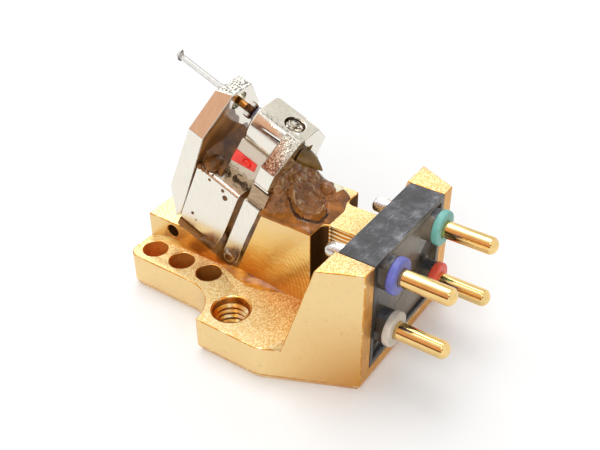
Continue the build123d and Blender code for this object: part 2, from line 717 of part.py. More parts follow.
# Potting resin on the spine, heaped against the back of the rear yoke.
# It slopes off to the far side and stops short of the far corner.
with BuildPart() as potting_resin:
    crown = tilted(REAR_YOKE_BACK, rise_at(REAR_YOKE_BACK, SPINE_TOP + POT_CROWN_H))
    waist = (POT_WAIST_Y, SPINE_TOP + POT_WAIST_H)
    brow = (POT_BROW_Y, SPINE_TOP + POT_BROW_H)
    with BuildSketch(Plane.YZ):
        with BuildLine():
            Spline(crown, waist, brow)
            Polyline(brow, (POT_REAR, SPINE_TOP), tilted(REAR_YOKE_BACK, rise_at(REAR_YOKE_BACK, SPINE_TOP)), crown)
        make_face()
    extrude(amount=-POT_NEAR, both=True)
    with BuildSketch(Plane.XY.offset(SPINE_TOP)):
        with BuildLine():
            Polyline(
                (POT_NEAR, POT_REAR),
                (POT_BARE_X, POT_REAR),
                (POT_FAR, POT_BARE_Y),
                (POT_FAR, AXIS_Y),
                (POT_NEAR, AXIS_Y),
                close=True,
            )
        make_face()
    extrude(amount=POT_CROWN_H, mode=Mode.INTERSECT)
    with BuildSketch(Plane.XZ.offset(-POT_REAR)):
        with BuildLine():
            Polyline(
                (POT_NEAR, SPINE_TOP),
                (POT_NEAR, SPINE_TOP + POT_CROWN_H),
                (POT_RIDGE_X, SPINE_TOP + POT_CROWN_H),
                (POT_FAR, SPINE_TOP + POT_FAR_H),
                (POT_FAR, SPINE_TOP),
                close=True,
            )
        make_face()
    extrude(amount=POT_REAR - AXIS_Y, mode=Mode.INTERSECT)
    near_rim = potting_resin.edges().filter_by(GeomType.BSPLINE).sort_by(Axis.X)[0]
    fillet(near_rim, POT_ROUND)
save(potting_resin, "potting_resin")
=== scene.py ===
import math

import bmesh
import bpy
from bpy.props import FloatProperty, FloatVectorProperty, IntProperty, PointerProperty
from bpy.types import NodeSocket, Operator, Panel, PropertyGroup
from mathutils import Matrix, Vector, noise


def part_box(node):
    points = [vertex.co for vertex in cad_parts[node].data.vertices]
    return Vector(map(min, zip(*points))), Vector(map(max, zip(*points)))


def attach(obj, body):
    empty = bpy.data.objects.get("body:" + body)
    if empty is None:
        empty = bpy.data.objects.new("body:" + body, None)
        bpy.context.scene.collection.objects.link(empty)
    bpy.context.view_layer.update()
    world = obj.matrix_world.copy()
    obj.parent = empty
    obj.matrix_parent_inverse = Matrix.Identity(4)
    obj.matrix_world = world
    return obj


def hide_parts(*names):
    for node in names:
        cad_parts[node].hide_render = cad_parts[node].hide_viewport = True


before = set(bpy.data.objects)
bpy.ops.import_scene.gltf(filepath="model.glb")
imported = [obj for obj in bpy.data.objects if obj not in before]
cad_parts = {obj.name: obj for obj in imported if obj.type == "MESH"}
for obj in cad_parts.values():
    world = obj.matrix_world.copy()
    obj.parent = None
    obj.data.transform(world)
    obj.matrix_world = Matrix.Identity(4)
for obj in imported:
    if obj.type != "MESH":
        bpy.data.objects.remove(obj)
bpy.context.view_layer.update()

bl_info = {
    "name": "Moving-coil cartridge",
    "version": (1, 0, 0),
    "blender": (4, 5, 0),
    "location": "View3D > Sidebar > Cartridge",
    "description": "Dresses the packed cartridge with its metal, plastic and resin finishes, and sets its stage",
    "category": "Object",
}

MM = 0.001

# Places on the body in millimetres, from the middle of the mounting face
PLATE_TOP = 2.85
SPINE_SIDE, SPINE_TOP = 3.0, 8.66
NECK_FRONT, NECK_REAR = -4.0, -7.3
SCREW_HOLE, SCREW_RADIUS = 6.35, 1.25
HOLE_SIDE, HOLE_ROWS, HOLE_RADIUS = 4.18, (8.66, 6.17, 3.68), 0.93
CROSS_HOLE, CROSS_RADIUS = (7.89, 4.05), 0.5
# How far in millimetres a face may lie from where it is looked for
SLACK = 0.02

# The generator leans: its axis leaves the front yoke's face at AXIS, depth runs back along it and rise up the face
AXIS = Vector((0.0, 4.70, 15.17)) * MM
LEAN = math.radians(22.25)
DEPTH = Vector((0.0, -math.cos(LEAN), -math.sin(LEAN)))
RISE = Vector((0.0, -math.sin(LEAN), math.cos(LEAN)))
# The seat's wall and floor, and the clamp screw, in millimetres of depth and rise
SEAT_WALL, SEAT_FLOOR = 7.04, -10.4
CLAMP_DEPTH = 5.53

LEADS = ("blue", "green", "white", "red")


def linear(code):
    """An sRGB hex colour as linear red, green, blue and alpha."""
    parts = [int(code[i:i + 2], 16) / 255 for i in (0, 2, 4)]
    return tuple(c / 12.92 if c <= 0.04045 else ((c + 0.055) / 1.055) ** 2.4 for c in parts) + (1.0,)


def length(name, description, millimetres):
    """A size that the user may change, given in millimetres."""
    return FloatProperty(name=name, description=description, default=millimetres * MM, min=0.0, precision=6,
                         unit="LENGTH")


def colour(name, description, code):
    """A colour that the user may change, given as sRGB hex."""
    return FloatVectorProperty(name=name, description=description, default=linear(code), size=4, min=0.0, max=1.0,
                               subtype="COLOR")


class CARTRIDGE_PG_sizes(PropertyGroup):
    """Sizes of the fine detail that the solids leave out."""

    edge: length("Edge break", "Width of the bright broken edge on machined pieces", 0.07)
    plated_edge: length("Plated edge", "Width of the broken edge on the plated generator pieces", 0.045)
    thread_pitch: length("Thread pitch", "Pitch of the thread in the two mounting holes", 0.45)
    thread_depth: length("Thread depth", "Height of the thread's ridges", 0.2)
    wire: length("Winding wire", "Diameter of the wire, drawn coarser than the real 0.02 mm so that it shows", 0.07)
    turns: IntProperty(name="Winding turns", description="Turns shown in each winding", default=7, min=2)


class CARTRIDGE_PG_finishes(PropertyGroup):
    """Colours and grain of the finishes."""

    grit: length("Blasting grit", "Grain of the bead-blasted faces", 0.14)
    mill_step: length("Milling step", "Spacing of the cutter marks in the pockets beside the neck", 0.3)
    speckle: length("Plating speckle", "Grain of the specks in the plated flats", 0.14)
    crackle: length("Plating crackle", "Grain of the crackle on the rear yoke's bevel", 0.11)
    gold: colour("Anodised gold", "Dyed anodic film on the aluminium body", "EDCF95")
    pale: colour("Pale gold", "Crests of the milled steps and of worn edges", "FAEBC2")
    # Painted shade: the deep colour is also the painted shade on the rear faces, and the painted dark line on the
    # broken edges
    deep: colour("Deep gold", "Milled steps, worn edges and sawn faces", "DDA250")
    # Painted shade: the drilled colour is painted shade in the holes and the pockets, and the darkest step of the
    # milling marks
    drilled: colour("Drilled gold", "Dye that lies deep in the holes and the pockets", "D08A3C")
    plating: colour("Gold plating", "Plating on the terminal pins", "F0CE8A")
    nickel: colour("Nickel plating", "Plating on the yokes, the pole and the leg", "EDE8DC")
    tarnish: colour("Flux", "Brown flux in the joints", "A0683C")
    spacer: colour("Spacer", "Ground bronze of the spacer under the rear yoke", "B59C7E")
    magnet: colour("Magnet", "Ground face of the sintered magnet", "D6C9B6")
    mark: colour("Polarity mark", "Red paint on the magnet", "F0200F")
    moulding: colour("Terminal block", "Black moulding that holds the pins", "383531")
    scuff: colour("Scuffed moulding", "Grey bloom of scratches on the block's top", "8E8E94")
    blue: colour("Blue collar", "Collar of the first lead", "6A6EBC")
    green: colour("Green collar", "Collar of the second lead", "78BAB0")
    white: colour("White collar", "Collar of the third lead", "D2C8BA")
    red: colour("Red collar", "Collar of the fourth lead", "FF5E46")
    tin: colour("Solder", "Tin solder on the pin tails", "D9D7D2")
    copper: colour("Pipe", "Copper alloy of the cantilever's pipe", "C98A48")
    resin: colour("Resin", "Brown potting epoxy where it is neither thick nor thin", "9A5E26")
    card: colour("Warm card", "Warm reflection that the studio puts in the plating", "E9B797")


def per(size):
    """A texture's scale for a pattern with features of this size in metres."""
    return 1.0 / size


def bands(size):
    """A wave texture's scale for bands that repeat at this size in metres."""
    return math.pi / (10 * size)


def feed(tree, node, inputs):
    """Sets a node's inputs: a socket is linked, and anything else is a value."""
    for key, value in inputs.items():
        if isinstance(value, NodeSocket):
            tree.links.new(value, node.inputs[key])
        else:
            node.inputs[key].default_value = value


def add(tree, kind, inputs=None, out=None, stops=(), **settings):
    """Adds one shader node with its settings, a ramp's stops and its inputs, and gives back the output that is named,
    or else the first one in use."""
    made = tree.nodes.new("ShaderNode" + kind)
    for key, value in settings.items():
        setattr(made, key, value)
    while stops and len(made.color_ramp.elements) < len(stops):
        made.color_ramp.elements.new(0.5)
    for k, (position, shade) in enumerate(stops):
        made.color_ramp.elements[k].position = position
        made.color_ramp.elements[k].color = linear(shade) if isinstance(shade, str) else shade
    feed(tree, made, inputs or {})
    return made.outputs[out] if out else next(socket for socket in made.outputs if socket.enabled)


def material(name, base, metallic, roughness, **inputs):
    """A material with its main shader, whose plain values are set on the shader itself."""
    made = bpy.data.materials.new(name)
    made.use_nodes = True
    tree = made.node_tree
    shader = tree.nodes["Principled BSDF"]
    feed(tree, shader, {"Base Color": base, "Metallic": metallic, "Roughness": roughness})
    feed(tree, shader, {key.replace("_", " "): value for key, value in inputs.items()})
    return made, tree, shader, add(tree, "TexCoord", out="Object")


def mottled(name, base, metallic, roughness, size, detail, stops, relief=None, turned=None, grain=None, **inputs):
    """A material with clouds of colour, of a size in millimetres. They may be in relief, given as a strength and
    millimetres, be turned by degrees and squeezed along the axes, and have a grain of their own."""
    made, tree, shader, place = material(name, base, metallic, roughness, **inputs)
    if turned:
        angles, squeeze = turned
        turn = [math.radians(angle) for angle in angles]
        place = add(tree, "Mapping", {"Vector": place, "Rotation": turn, "Scale": squeeze})
    cloud = add(tree, "TexNoise", {"Vector": place, "Scale": per(size * MM), "Detail": detail, **(grain or {})})
    feed(tree, shader, {"Base Color": add(tree, "ValToRGB", {"Fac": cloud}, stops=stops)})
    if relief:
        strength, depth = relief
        bump = add(tree, "Bump", {"Height": cloud, "Strength": strength, "Distance": depth * MM})
        feed(tree, shader, {"Normal": bump})
    return made


def gradient(tree, place, axis, start, end, low=0.0, high=1.0):
    """How far a point lies along an axis between two places in millimetres, as a value from low to high."""
    spot = add(tree, "SeparateXYZ", {"Vector": place}, out=axis)
    return add(tree, "MapRange", {"Value": spot, "From Min": start * MM, "From Max": end * MM, "To Min": low,
                                  "To Max": high})


def climb(tree, place, low, high):
    """How far up the generator a point is: 0 at one rise in millimetres, 1 at another."""
    along = add(tree, "VectorMath", {0: place, 1: tuple(RISE)}, operation="DOT_PRODUCT")
    foot = AXIS.dot(RISE)
    return add(tree, "MapRange", {"Value": along, "From Min": foot + low * MM, "From Max": foot + high * MM})


def times(shade, amount):
    """A linear colour made darker or lighter."""
    return tuple(min(1.0, c * amount) for c in shade[:3]) + (1.0,)


def ease(value, start, end):
    """A smooth step from 0 at the start to 1 at the end."""
    t = min(1.0, max(0.0, (value - start) / (end - start)))
    return t * t * (3 - 2 * t)


def along_curve(points, place):
    """The height of a curve through (place, height) points, smooth between them."""
    for (p0, h0), (p1, h1) in zip(points, points[1:]):
        if place <= p1:
            return h0 + (h1 - h0) * ease(place, p0, p1)
    return points[-1][1]


def gen(x, depth, rise):
    """A point of the generator from millimetres across, back along its axis and up its face."""
    return Vector((x * MM, 0, 0)) + AXIS + DEPTH * depth * MM + RISE * rise * MM


def solid_of(name):
    """A copy of a CAD solid's mesh, welded and with its flat faces joined up."""
    bm = bmesh.new()
    bm.from_mesh(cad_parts[name].data)
    bmesh.ops.remove_doubles(bm, verts=bm.verts, dist=1e-7)
    bmesh.ops.dissolve_limit(bm, angle_limit=math.radians(0.5), verts=bm.verts, edges=bm.edges)
    bm.normal_update()
    return bm


def in_seat(edge):
    """Whether an edge of the body lies on the seat's floor or wall, where it stays sharp under the adhesive."""
    spans = [v.co - AXIS for v in edge.verts]
    on_floor = all(abs(span.dot(RISE) / MM - SEAT_FLOOR) < 0.05 for span in spans)
    return on_floor or all(abs(span.dot(DEPTH) / MM - SEAT_WALL) < 0.05 for span in spans)


def piece(name, bm, body, slot, finishes, replaces=(), bevel=0.0, edge=-1, plain=None):
    """Makes an object of a mesh, breaks its outer edges, gives it its finish, and fixes it to the body it moves
    with."""
    mesh = bpy.data.meshes.new(name)
    bmesh.ops.recalc_face_normals(bm, faces=bm.faces)
    for face in bm.faces:
        face.smooth = True
    if bevel:
        weight = bm.edges.layers.float.new("bevel_weight_edge")
        for rim in bm.edges:
            outer = rim.is_manifold and rim.is_convex and rim.calc_face_angle() > math.radians(24)
            rim[weight] = float(outer and not (plain and plain(rim)))
    bm.to_mesh(mesh)
    bm.free()
    for finish in finishes:
        mesh.materials.append(finish)
    made = bpy.data.objects.new(name, mesh)
    bpy.context.scene.collection.objects.link(made)
    mesh.set_sharp_from_angle(angle=math.radians(40))
    if bevel:
        broken = made.modifiers.new("broken_edges", "BEVEL")
        broken.width = bevel
        broken.segments = 2
        broken.limit_method = "WEIGHT"
        broken.use_clamp_overlap = False
        broken.harden_normals = True
        broken.material = edge
    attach(made, body)
    if replaces:
        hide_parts(*replaces)


def ring(bm, centre, side, other, radius, steps):
    """Points round a centre, in the plane of two directions."""
    turn = [2 * math.pi * k / steps for k in range(steps)]
    return [bm.verts.new(centre + (side * math.cos(t) + other * math.sin(t)) * radius) for t in turn]


def bridge(bm, rings, around=True):
    """Joins rows of points with faces, one row to the next. A row of one point is a tip, and rows that go around are
    closed."""
    for low, high in zip(rings, rings[1:]):
        steps = max(len(low), len(high))
        for k in range(steps if around else steps - 1):
            n = k + 1
            corners = (low[k % len(low)], low[n % len(low)], high[n % len(high)], high[k % len(high)])
            bm.faces.new(dict.fromkeys(corners))


def lathe(bm, profile, origin, along, steps=56):
    """Turns a profile of (distance along, radius) about an axis."""
    along = along.normalized()
    side = along.orthogonal().normalized()
    other = along.cross(side)
    rings = []
    for distance, radius in profile:
        centre = origin + along * distance
        tip = radius < 1e-9
        rings.append([bm.verts.new(centre)] if tip else ring(bm, centre, side, other, radius, steps))
    bridge(bm, rings)
    return rings


def sweep(bm, points, radii, steps=8, closed=False):
    """A round tube along points, with a radius at each of them."""
    rings = []
    count = len(points)
    side = None
    for k, (point, radius) in enumerate(zip(points, radii)):
        ahead = points[(k + 1) % count] if closed or k + 1 < count else point
        behind = points[k - 1] if closed or k else point
        along = (ahead - behind).normalized()
        side = along.orthogonal() if side is None else side - along * side.dot(along)
        side.normalize()
        rings.append(ring(bm, point, side, along.cross(side), radius, steps))
    bridge(bm, rings + rings[:1] if closed else rings)
    if not closed:
        bm.faces.new(rings[0][::-1])
        bm.faces.new(rings[-1])


def ball(bm, centre, half_x, half_depth, half_rise, steps=20):
    """A drop in the generator's directions, from its half sizes in millimetres."""
    for v in bmesh.ops.create_uvsphere(bm, u_segments=steps, v_segments=steps // 2, radius=MM)["verts"]:
        v.co = centre + Vector((half_x * v.co.x, 0, 0)) + DEPTH * half_depth * v.co.y + RISE * half_rise * v.co.z


def shell(bm, top, foot):
    """Closes two grids of points into one skin."""
    top = [[bm.verts.new(p) for p in row] for row in top]
    foot = [[bm.verts.new(p) for p in row] for row in foot]
    for grid in (top, foot):
        bridge(bm, grid, around=False)
    rims = []
    for grid in (top, foot):
        rims.append([row[0] for row in grid] + grid[-1][1:] + [row[-1] for row in grid[-2::-1]] + grid[0][-2:0:-1])
    for k in range(len(rims[0])):
        bm.faces.new((rims[0][k - 1], rims[0][k], rims[1][k], rims[1][k - 1]))


def arc(centre, radii, start, end, steps):
    """Points of a quarter round in a profile, as (distance along, radius)."""
    out = []
    for k in range(steps + 1):
        t = math.radians(start + (end - start) * k / steps)
        out.append((centre[0] + radii[0] * math.cos(t), centre[1] + radii[1] * math.sin(t)))
    return out


# Finishes of the body

def blasted_gold(looks, name="anodised_aluminium_blasted", across=0.0, along=0.36, start=0.05, metal=0.6):
    """Aluminium, bead blasted and anodised gold: smooth and pale at the front, with a sparkling grain that grows
    stronger towards the back, and painted shade and painted reflection of the gold around it that deepen its colour
    towards the back, and on the plate towards the spine."""
    made, tree, shader, place = material(name, looks.gold, metal, 0.36, Specular_IOR_Level=0.1)
    turned = add(tree, "Mapping", {"Vector": place, "Rotation": (0.0, 0.0, math.radians(38)),
                                   "Scale": (1.0, 1.7, 1.0)})
    grain = add(tree, "TexNoise", {"Vector": turned, "Scale": per(looks.grit), "Detail": 2.0, "Roughness": 0.6})
    # Painted shade and painted reflection: the colour deepens towards the back, and on the plate towards the spine
    aside = add(tree, "Math", {0: add(tree, "SeparateXYZ", {"Vector": place}, "X")}, operation="ABSOLUTE")
    inward = add(tree, "MapRange", {"Value": aside, "From Min": 8.2 * MM, "From Max": 3.0 * MM, "To Max": across})
    rearward = gradient(tree, place, "Y", 4.5, -5.0, start, start + along)
    total = add(tree, "Math", {0: inward, 1: rearward}, operation="ADD", use_clamp=True)
    light = add(tree, "ValToRGB", {"Fac": grain}, stops=[(0.38, "EECA76"), (0.6, "FFF4CA")])
    painted_shade_grain = add(tree, "ValToRGB", {"Fac": grain}, stops=[(0.38, "BE6E16"), (0.5, "DE9A34"), (0.6, "FBDC92")])
    feed(tree, shader, {"Base Color": add(tree, "Mix", {0: total, 6: light, 7: painted_shade_grain}, data_type="RGBA"),
                        "Normal": add(tree, "Bump", {"Height": grain, "Strength": 0.5, "Distance": 0.04 * MM})})
    return made


def plate_gold(looks):
    """The same blasting on the plate, where painted shade and painted reflection of the gold spine and ear are deepest
    in the corner between the spine and the ear.
    """
    return blasted_gold(looks, "anodised_aluminium_blasted_plate", 0.75, 0.48, -0.3, 0.5)


def satin_gold(looks):
    """Aluminium, ground smooth and anodised gold: satin, with faint specks in the film and a deeper gold low down at
    the back, which is painted shade and painted reflection."""
    made, tree, shader, place = material("anodised_aluminium_satin", looks.gold, 0.75, 0.36)
    specks = add(tree, "TexNoise", {"Vector": place, "Scale": per(0.3 * MM), "Detail": 4.0, "Roughness": 0.7})
    shade = add(tree, "ValToRGB", {"Fac": specks}, stops=[(0.27, "D8AC62"), (0.36, looks.gold),
                                                          (0.7, times(looks.gold, 1.05))])
    # Painted shade: deeper gold low down at the back
    rearward, downward = gradient(tree, place, "Y", -4.0, -9.8), gradient(tree, place, "Z", 7.0, 0.5)
    painted_shade_factor = add(tree, "Math", {0: rearward, 1: downward}, operation="MULTIPLY")
    fine = add(tree, "TexNoise", {"Vector": place, "Scale": per(0.12 * MM), "Detail": 1.0})
    feed(tree, shader, {"Base Color": add(tree, "Mix", {0: painted_shade_factor, 6: shade, 7: linear("CC8C38")}, data_type="RGBA"),
                        "Normal": add(tree, "Bump", {"Height": fine, "Strength": 0.2, "Distance": 0.01 * MM})})
    return made


def spine_gold(looks):
    """Aluminium, fly cut and anodised gold: wavy lines from the cutter, and painted shade that deepens the colour
    towards the foot and towards the back.
    """
    made, tree, shader, place = material("anodised_aluminium_fly_cut", looks.gold, 0.75, 0.3)
    turned = add(tree, "Mapping", {"Vector": place, "Rotation": (math.radians(24), 0.0, 0.0),
                                   "Scale": (1.0, 1.0, 5.0)})
    lines = add(tree, "TexNoise", {"Vector": turned, "Scale": per(0.75 * MM), "Detail": 4.0, "Roughness": 0.7,
                                   "Distortion": 0.4})
    # Painted shade: darker towards the foot and towards the back
    upward, ahead = gradient(tree, place, "Z", 2.8, 8.4), gradient(tree, place, "Y", 6.0, 9.5, 0.0, 0.75)
    painted_shade_to_foot = add(tree, "Math", {0: upward, 1: ahead}, operation="ADD")
    uneven = add(tree, "MapRange", {"Value": lines, "From Min": 0.3, "From Max": 0.7, "To Min": -0.2, "To Max": 0.2})
    # The cutter's arcs show towards the back, round a centre ahead of them
    centred = add(tree, "Mapping", {"Vector": place, "Location": (0.0, -1.5 * MM, -3.0 * MM)})
    arcs = add(tree, "TexWave", {"Vector": centred, "Scale": bands(0.3 * MM), "Distortion": 1.0, "Detail": 2.0,
                                 "Detail Scale": 0.8}, "Fac", wave_type="RINGS", rings_direction="X")
    behind = gradient(tree, place, "Y", -0.8, -3.0, 0.0, 0.22)
    cut = add(tree, "Math", {0: arcs, 1: behind}, operation="MULTIPLY")
    painted_shade_factor = add(tree, "Math", {0: painted_shade_to_foot, 1: uneven}, operation="ADD")
    total = add(tree, "Math", {0: painted_shade_factor, 1: cut}, operation="SUBTRACT")
    shade = add(tree, "ValToRGB", {"Fac": total}, stops=[(0.0, "CC7420"), (0.3, "E09A3A"), (0.6, "F0C874"),
                                                         (1.0, looks.gold)])
    feed(tree, shader, {"Base Color": shade,
                        "Normal": add(tree, "Bump", {"Height": lines, "Strength": 0.3, "Distance": 0.02 * MM})})
    return made


def milled_gold(looks):
    """Aluminium, milled and anodised gold: bright and dark steps from the cutter along the neck."""
    made, tree, shader, place = material("anodised_aluminium_milled", looks.gold, 1.0, 0.26)
    marks = add(tree, "TexWave", {"Vector": place, "Scale": bands(looks.mill_step), "Distortion": 1.2, "Detail": 2.0,
                                  "Detail Scale": 1.5}, "Fac", bands_direction="Z")
    shade = add(tree, "ValToRGB", {"Fac": marks}, stops=[(0.15, looks.drilled), (0.5, looks.deep), (0.85, looks.pale)])
    feed(tree, shader, {"Base Color": shade,
                        "Normal": add(tree, "Bump", {"Height": marks, "Strength": 0.6, "Distance": 0.03 * MM})})
    return made


def drilled_gold(looks, name="anodised_aluminium_drilled", depth=0.95):
    """Aluminium, drilled and anodised gold: painted shade in the holes makes them look brown and dull, the more so
    towards the back."""
    base_tint = times(looks.drilled, depth)
    made, tree, shader, place = material(name, base_tint, 0.6, 0.45)
    cloud = add(tree, "TexNoise", {"Vector": place, "Scale": per(0.5 * MM), "Detail": 3.0})
    dull, bright = [add(tree, "ValToRGB", {"Fac": cloud}, stops=[(0.3, times(base_tint, low)), (0.7, times(base_tint, high))])
                    for low, high in ((0.7, 0.85), (1.2, 1.45))]
    # Painted shade: the holes are painted lighter at the front and darker at the back
    forward = gradient(tree, place, "Y", 3.7, 8.7)
    feed(tree, shader, {"Base Color": add(tree, "Mix", {0: forward, 6: dull, 7: bright}, data_type="RGBA")})
    return made


def pocket_gold(looks):
    """The same painted shade, much darker, in the blind ends of the pockets and in the cross hole, where hardly any
    light comes back.
    """
    return drilled_gold(looks, "anodised_aluminium_pocket", 0.16)


def edge_gold(looks):
    """Aluminium, deburred and anodised gold: a bright, narrow edge, painted deeper in colour than the faces as a dark
    edge line that stands in for reflection.
    """
    return mottled("anodised_aluminium_deburred", looks.deep, 1.0, 0.2, 0.6, 3.0,
                   [(0.35, looks.drilled), (0.55, looks.deep), (0.75, looks.pale)])


def rear_shaded_gold(looks):
    """Aluminium, sawn off and anodised gold: streaky, with a deeper gold on the rear ends that is painted shade."""
    return mottled("anodised_aluminium_sawn", looks.deep, 1.0, 0.36, 0.9, 3.0,
                   [(0.35, times(looks.deep, 0.85)), (0.6, looks.deep), (0.8, looks.gold)],
                   turned=((0, 0, 0), (6.0, 1.0, 1.0)))


def thread(side, sizes):
    """A spiral ridge in the mounting hole on one side, which fades out at the hole's mouth."""
    bm = bmesh.new()
    half, land = sizes.thread_pitch * 0.42, sizes.thread_pitch * 0.06
    start, mouth = 0.03 * MM + half, 2.72 * MM - half
    turns = (mouth - start) / sizes.thread_pitch
    steps, fading = int(turns * 40), 20
    rings = []
    for k in range(steps + 1):
        angle = 2 * math.pi * turns * k / steps
        out = Vector((math.cos(angle), math.sin(angle), 0))
        centre = Vector((side * SCREW_HOLE * MM, 0, start + (mouth - start) * k / steps))
        fade = min(1.0, (steps - k) / fading)
        root, crest = (SCREW_RADIUS + 0.01) * MM, SCREW_RADIUS * MM - sizes.thread_depth * fade
        rings.append([bm.verts.new(centre + out * r + Vector((0, 0, z)))
                      for r, z in ((root, -half), (crest, -land), (crest, land), (root, half))])
    bridge(bm, rings)
    bm.faces.new(rings[0])
    bm.faces.new(rings[-1][::-1])
    return bm


class CARTRIDGE_OT_body(Operator):
    """Dress the machined body, with a thread in each mounting hole"""

    bl_idname = "cartridge.body"
    bl_label = "Body"

    def execute(self, context):
        looks, sizes = context.scene.cartridge_finishes, context.scene.cartridge_sizes
        makers = (satin_gold, blasted_gold, plate_gold, spine_gold, milled_gold, drilled_gold, pocket_gold, rear_shaded_gold,
                  edge_gold)
        finishes = [maker(looks) for maker in makers]
        bm = solid_of("body")
        for face in bm.faces:
            x, y, z = face.calc_center_median() / MM
            normal = face.normal
            in_row = any(math.hypot(abs(x) - HOLE_SIDE, y - row) < HOLE_RADIUS for row in HOLE_ROWS)
            in_cross = math.hypot(y - CROSS_HOLE[0], z - CROSS_HOLE[1]) < CROSS_RADIUS
            in_screw_hole = math.hypot(abs(x) - SCREW_HOLE, y) < SCREW_RADIUS + 0.15 and abs(normal.z) < 0.5
            on_spine = z > PLATE_TOP + SLACK and abs(x) < SPINE_SIDE + SLACK
            # Painted shade: the cross hole and the pockets' rear-facing ends are painted darkest, and the other holes
            # dark
            if in_cross and abs(x) < SPINE_SIDE - SLACK:
                maker = pocket_gold
            elif (in_row and 0.5 < z < PLATE_TOP - SLACK) or in_screw_hole:
                maker = drilled_gold
            elif normal.z > 0.9 and z > 1.5:
                maker = plate_gold if z < PLATE_TOP + 0.15 else blasted_gold
            elif on_spine and NECK_REAR < y < NECK_FRONT:
                maker = pocket_gold if normal.y < -0.3 else milled_gold
            elif on_spine and y > NECK_FRONT:
                maker = spine_gold
            else:
                # Painted shade: faces that look straight back get the deeper gold
                maker = rear_shaded_gold if normal.y < -0.95 else satin_gold
            face.material_index = makers.index(maker)
        piece("body_gold", bm, "root", "body_anodised", finishes, ["body"], bevel=sizes.edge,
              edge=makers.index(edge_gold), plain=in_seat)
        for name, side in (("thread_near", -1), ("thread_far", 1)):
            piece(name, thread(side, sizes), "root", "body_anodised", finishes[-1:])
        return {"FINISHED"}


# Finishes of the terminals

def moulded_black(looks):
    """Phenolic moulding with a smooth back: near black, with a soft gloss and grey smears, and a painted shadow that
    darkens it towards the near side.
    """
    made, tree, shader, place = material("phenolic_moulded", looks.moulding, 0.0, 0.3)
    smear = add(tree, "TexNoise", {"Vector": place, "Scale": per(2.6 * MM), "Detail": 3.0, "Roughness": 0.5})
    shade = add(tree, "ValToRGB", {"Fac": smear}, stops=[(0.3, "463F36"), (0.5, "6A5F50"), (0.7, "8C8070")])
    # Painted shadow: the back darkens towards the near side
    aside = gradient(tree, place, "X", -1.5, -4.6, 0.0, 0.9)
    feed(tree, shader, {"Base Color": add(tree, "Mix", {0: aside, 6: shade, 7: linear("241E18")}, data_type="RGBA"),
                        "Roughness": add(tree, "MapRange", {"Value": smear, "From Min": 0.3, "From Max": 0.7,
                                                            "To Min": 0.18, "To Max": 0.4})})
    return made


def scuffed_black(looks):
    """The same moulding, rubbed on top: dark grey with a blue-grey bloom, pale scratches and specks."""
    made, tree, shader, place = material("phenolic_scuffed", looks.moulding, 0.0, 0.45)
    bloom = add(tree, "TexNoise", {"Vector": place, "Scale": per(1.5 * MM), "Detail": 5.0, "Roughness": 0.62})
    shade = add(tree, "ValToRGB", {"Fac": bloom}, stops=[(0.36, "141416"), (0.5, "303034"), (0.6, "56565B"),
                                                         (0.72, looks.scuff)])
    turned = add(tree, "Mapping", {"Vector": place, "Rotation": (0.0, 0.0, math.radians(28)),
                                   "Scale": (1.0, 14.0, 1.0)})
    lines = add(tree, "TexNoise", {"Vector": turned, "Scale": per(0.9 * MM), "Detail": 2.0})
    scratch = add(tree, "MapRange", {"Value": lines, "From Min": 0.66, "From Max": 0.8})
    feed(tree, shader, {"Base Color": add(tree, "Mix", {0: scratch, 6: shade, 7: linear("C4C4C8")}, data_type="RGBA"),
                        "Normal": add(tree, "Bump", {"Height": bloom, "Strength": 0.35, "Distance": 0.03 * MM})})
    return made


def plated_gold(looks):
    """Brass pin, turned and gold plated: a bright mirror with fine rings from the lathe."""
    made, tree, shader, place = material("brass_gold_plated", looks.plating, 1.0, 0.1)
    wear = add(tree, "TexNoise", {"Vector": place, "Scale": per(0.7 * MM), "Detail": 3.0})
    shade = add(tree, "ValToRGB", {"Fac": wear}, stops=[(0.3, times(looks.plating, 0.92)),
                                                        (0.7, times(looks.plating, 1.06))])
    rings = add(tree, "TexWave", {"Vector": place, "Scale": bands(0.18 * MM), "Distortion": 0.6}, "Fac",
                bands_direction="Y")
    feed(tree, shader, {"Base Color": shade,
                        "Normal": add(tree, "Bump", {"Height": rings, "Strength": 0.06, "Distance": 0.005 * MM})})
    return made


def collar_plastic(looks, lead):
    """Soft plastic sleeve, cut by hand: dull sheen, with its colour a little uneven."""
    base_tint = getattr(looks, lead)
    return mottled(f"vinyl_sleeve_{lead}", base_tint, 0.0, 0.42, 0.6, 3.0, [(0.3, times(base_tint, 0.82)), (0.7, times(base_tint, 1.12))],
                   relief=(0.2, 0.03), Subsurface_Weight=0.15, Subsurface_Scale=0.2 * MM)


def tin_solder(looks):
    """Tin solder, set by hand: bright and wrinkled, with a trace of copper from the strands under it."""
    return mottled("tin_solder_set", looks.tin, 1.0, 0.22, 0.25, 3.0,
                   [(0.28, times(looks.copper, 0.9)), (0.42, looks.tin), (0.8, looks.tin)], relief=(0.6, 0.05),
                   grain={"Roughness": 0.6})


class CARTRIDGE_OT_terminal_block(Operator):
    """Dress the black terminal block"""

    bl_idname = "cartridge.terminal_block"
    bl_label = "Terminal block"

    def execute(self, context):
        looks = context.scene.cartridge_finishes
        bm = solid_of("terminal_block")
        for face in bm.faces:
            face.material_index = int(face.normal.z > 0.9)
        piece("terminal_moulding", bm, "root", "terminal_plastic", [moulded_black(looks), scuffed_black(looks)],
              ["terminal_block"], bevel=0.03 * MM)
        return {"FINISHED"}


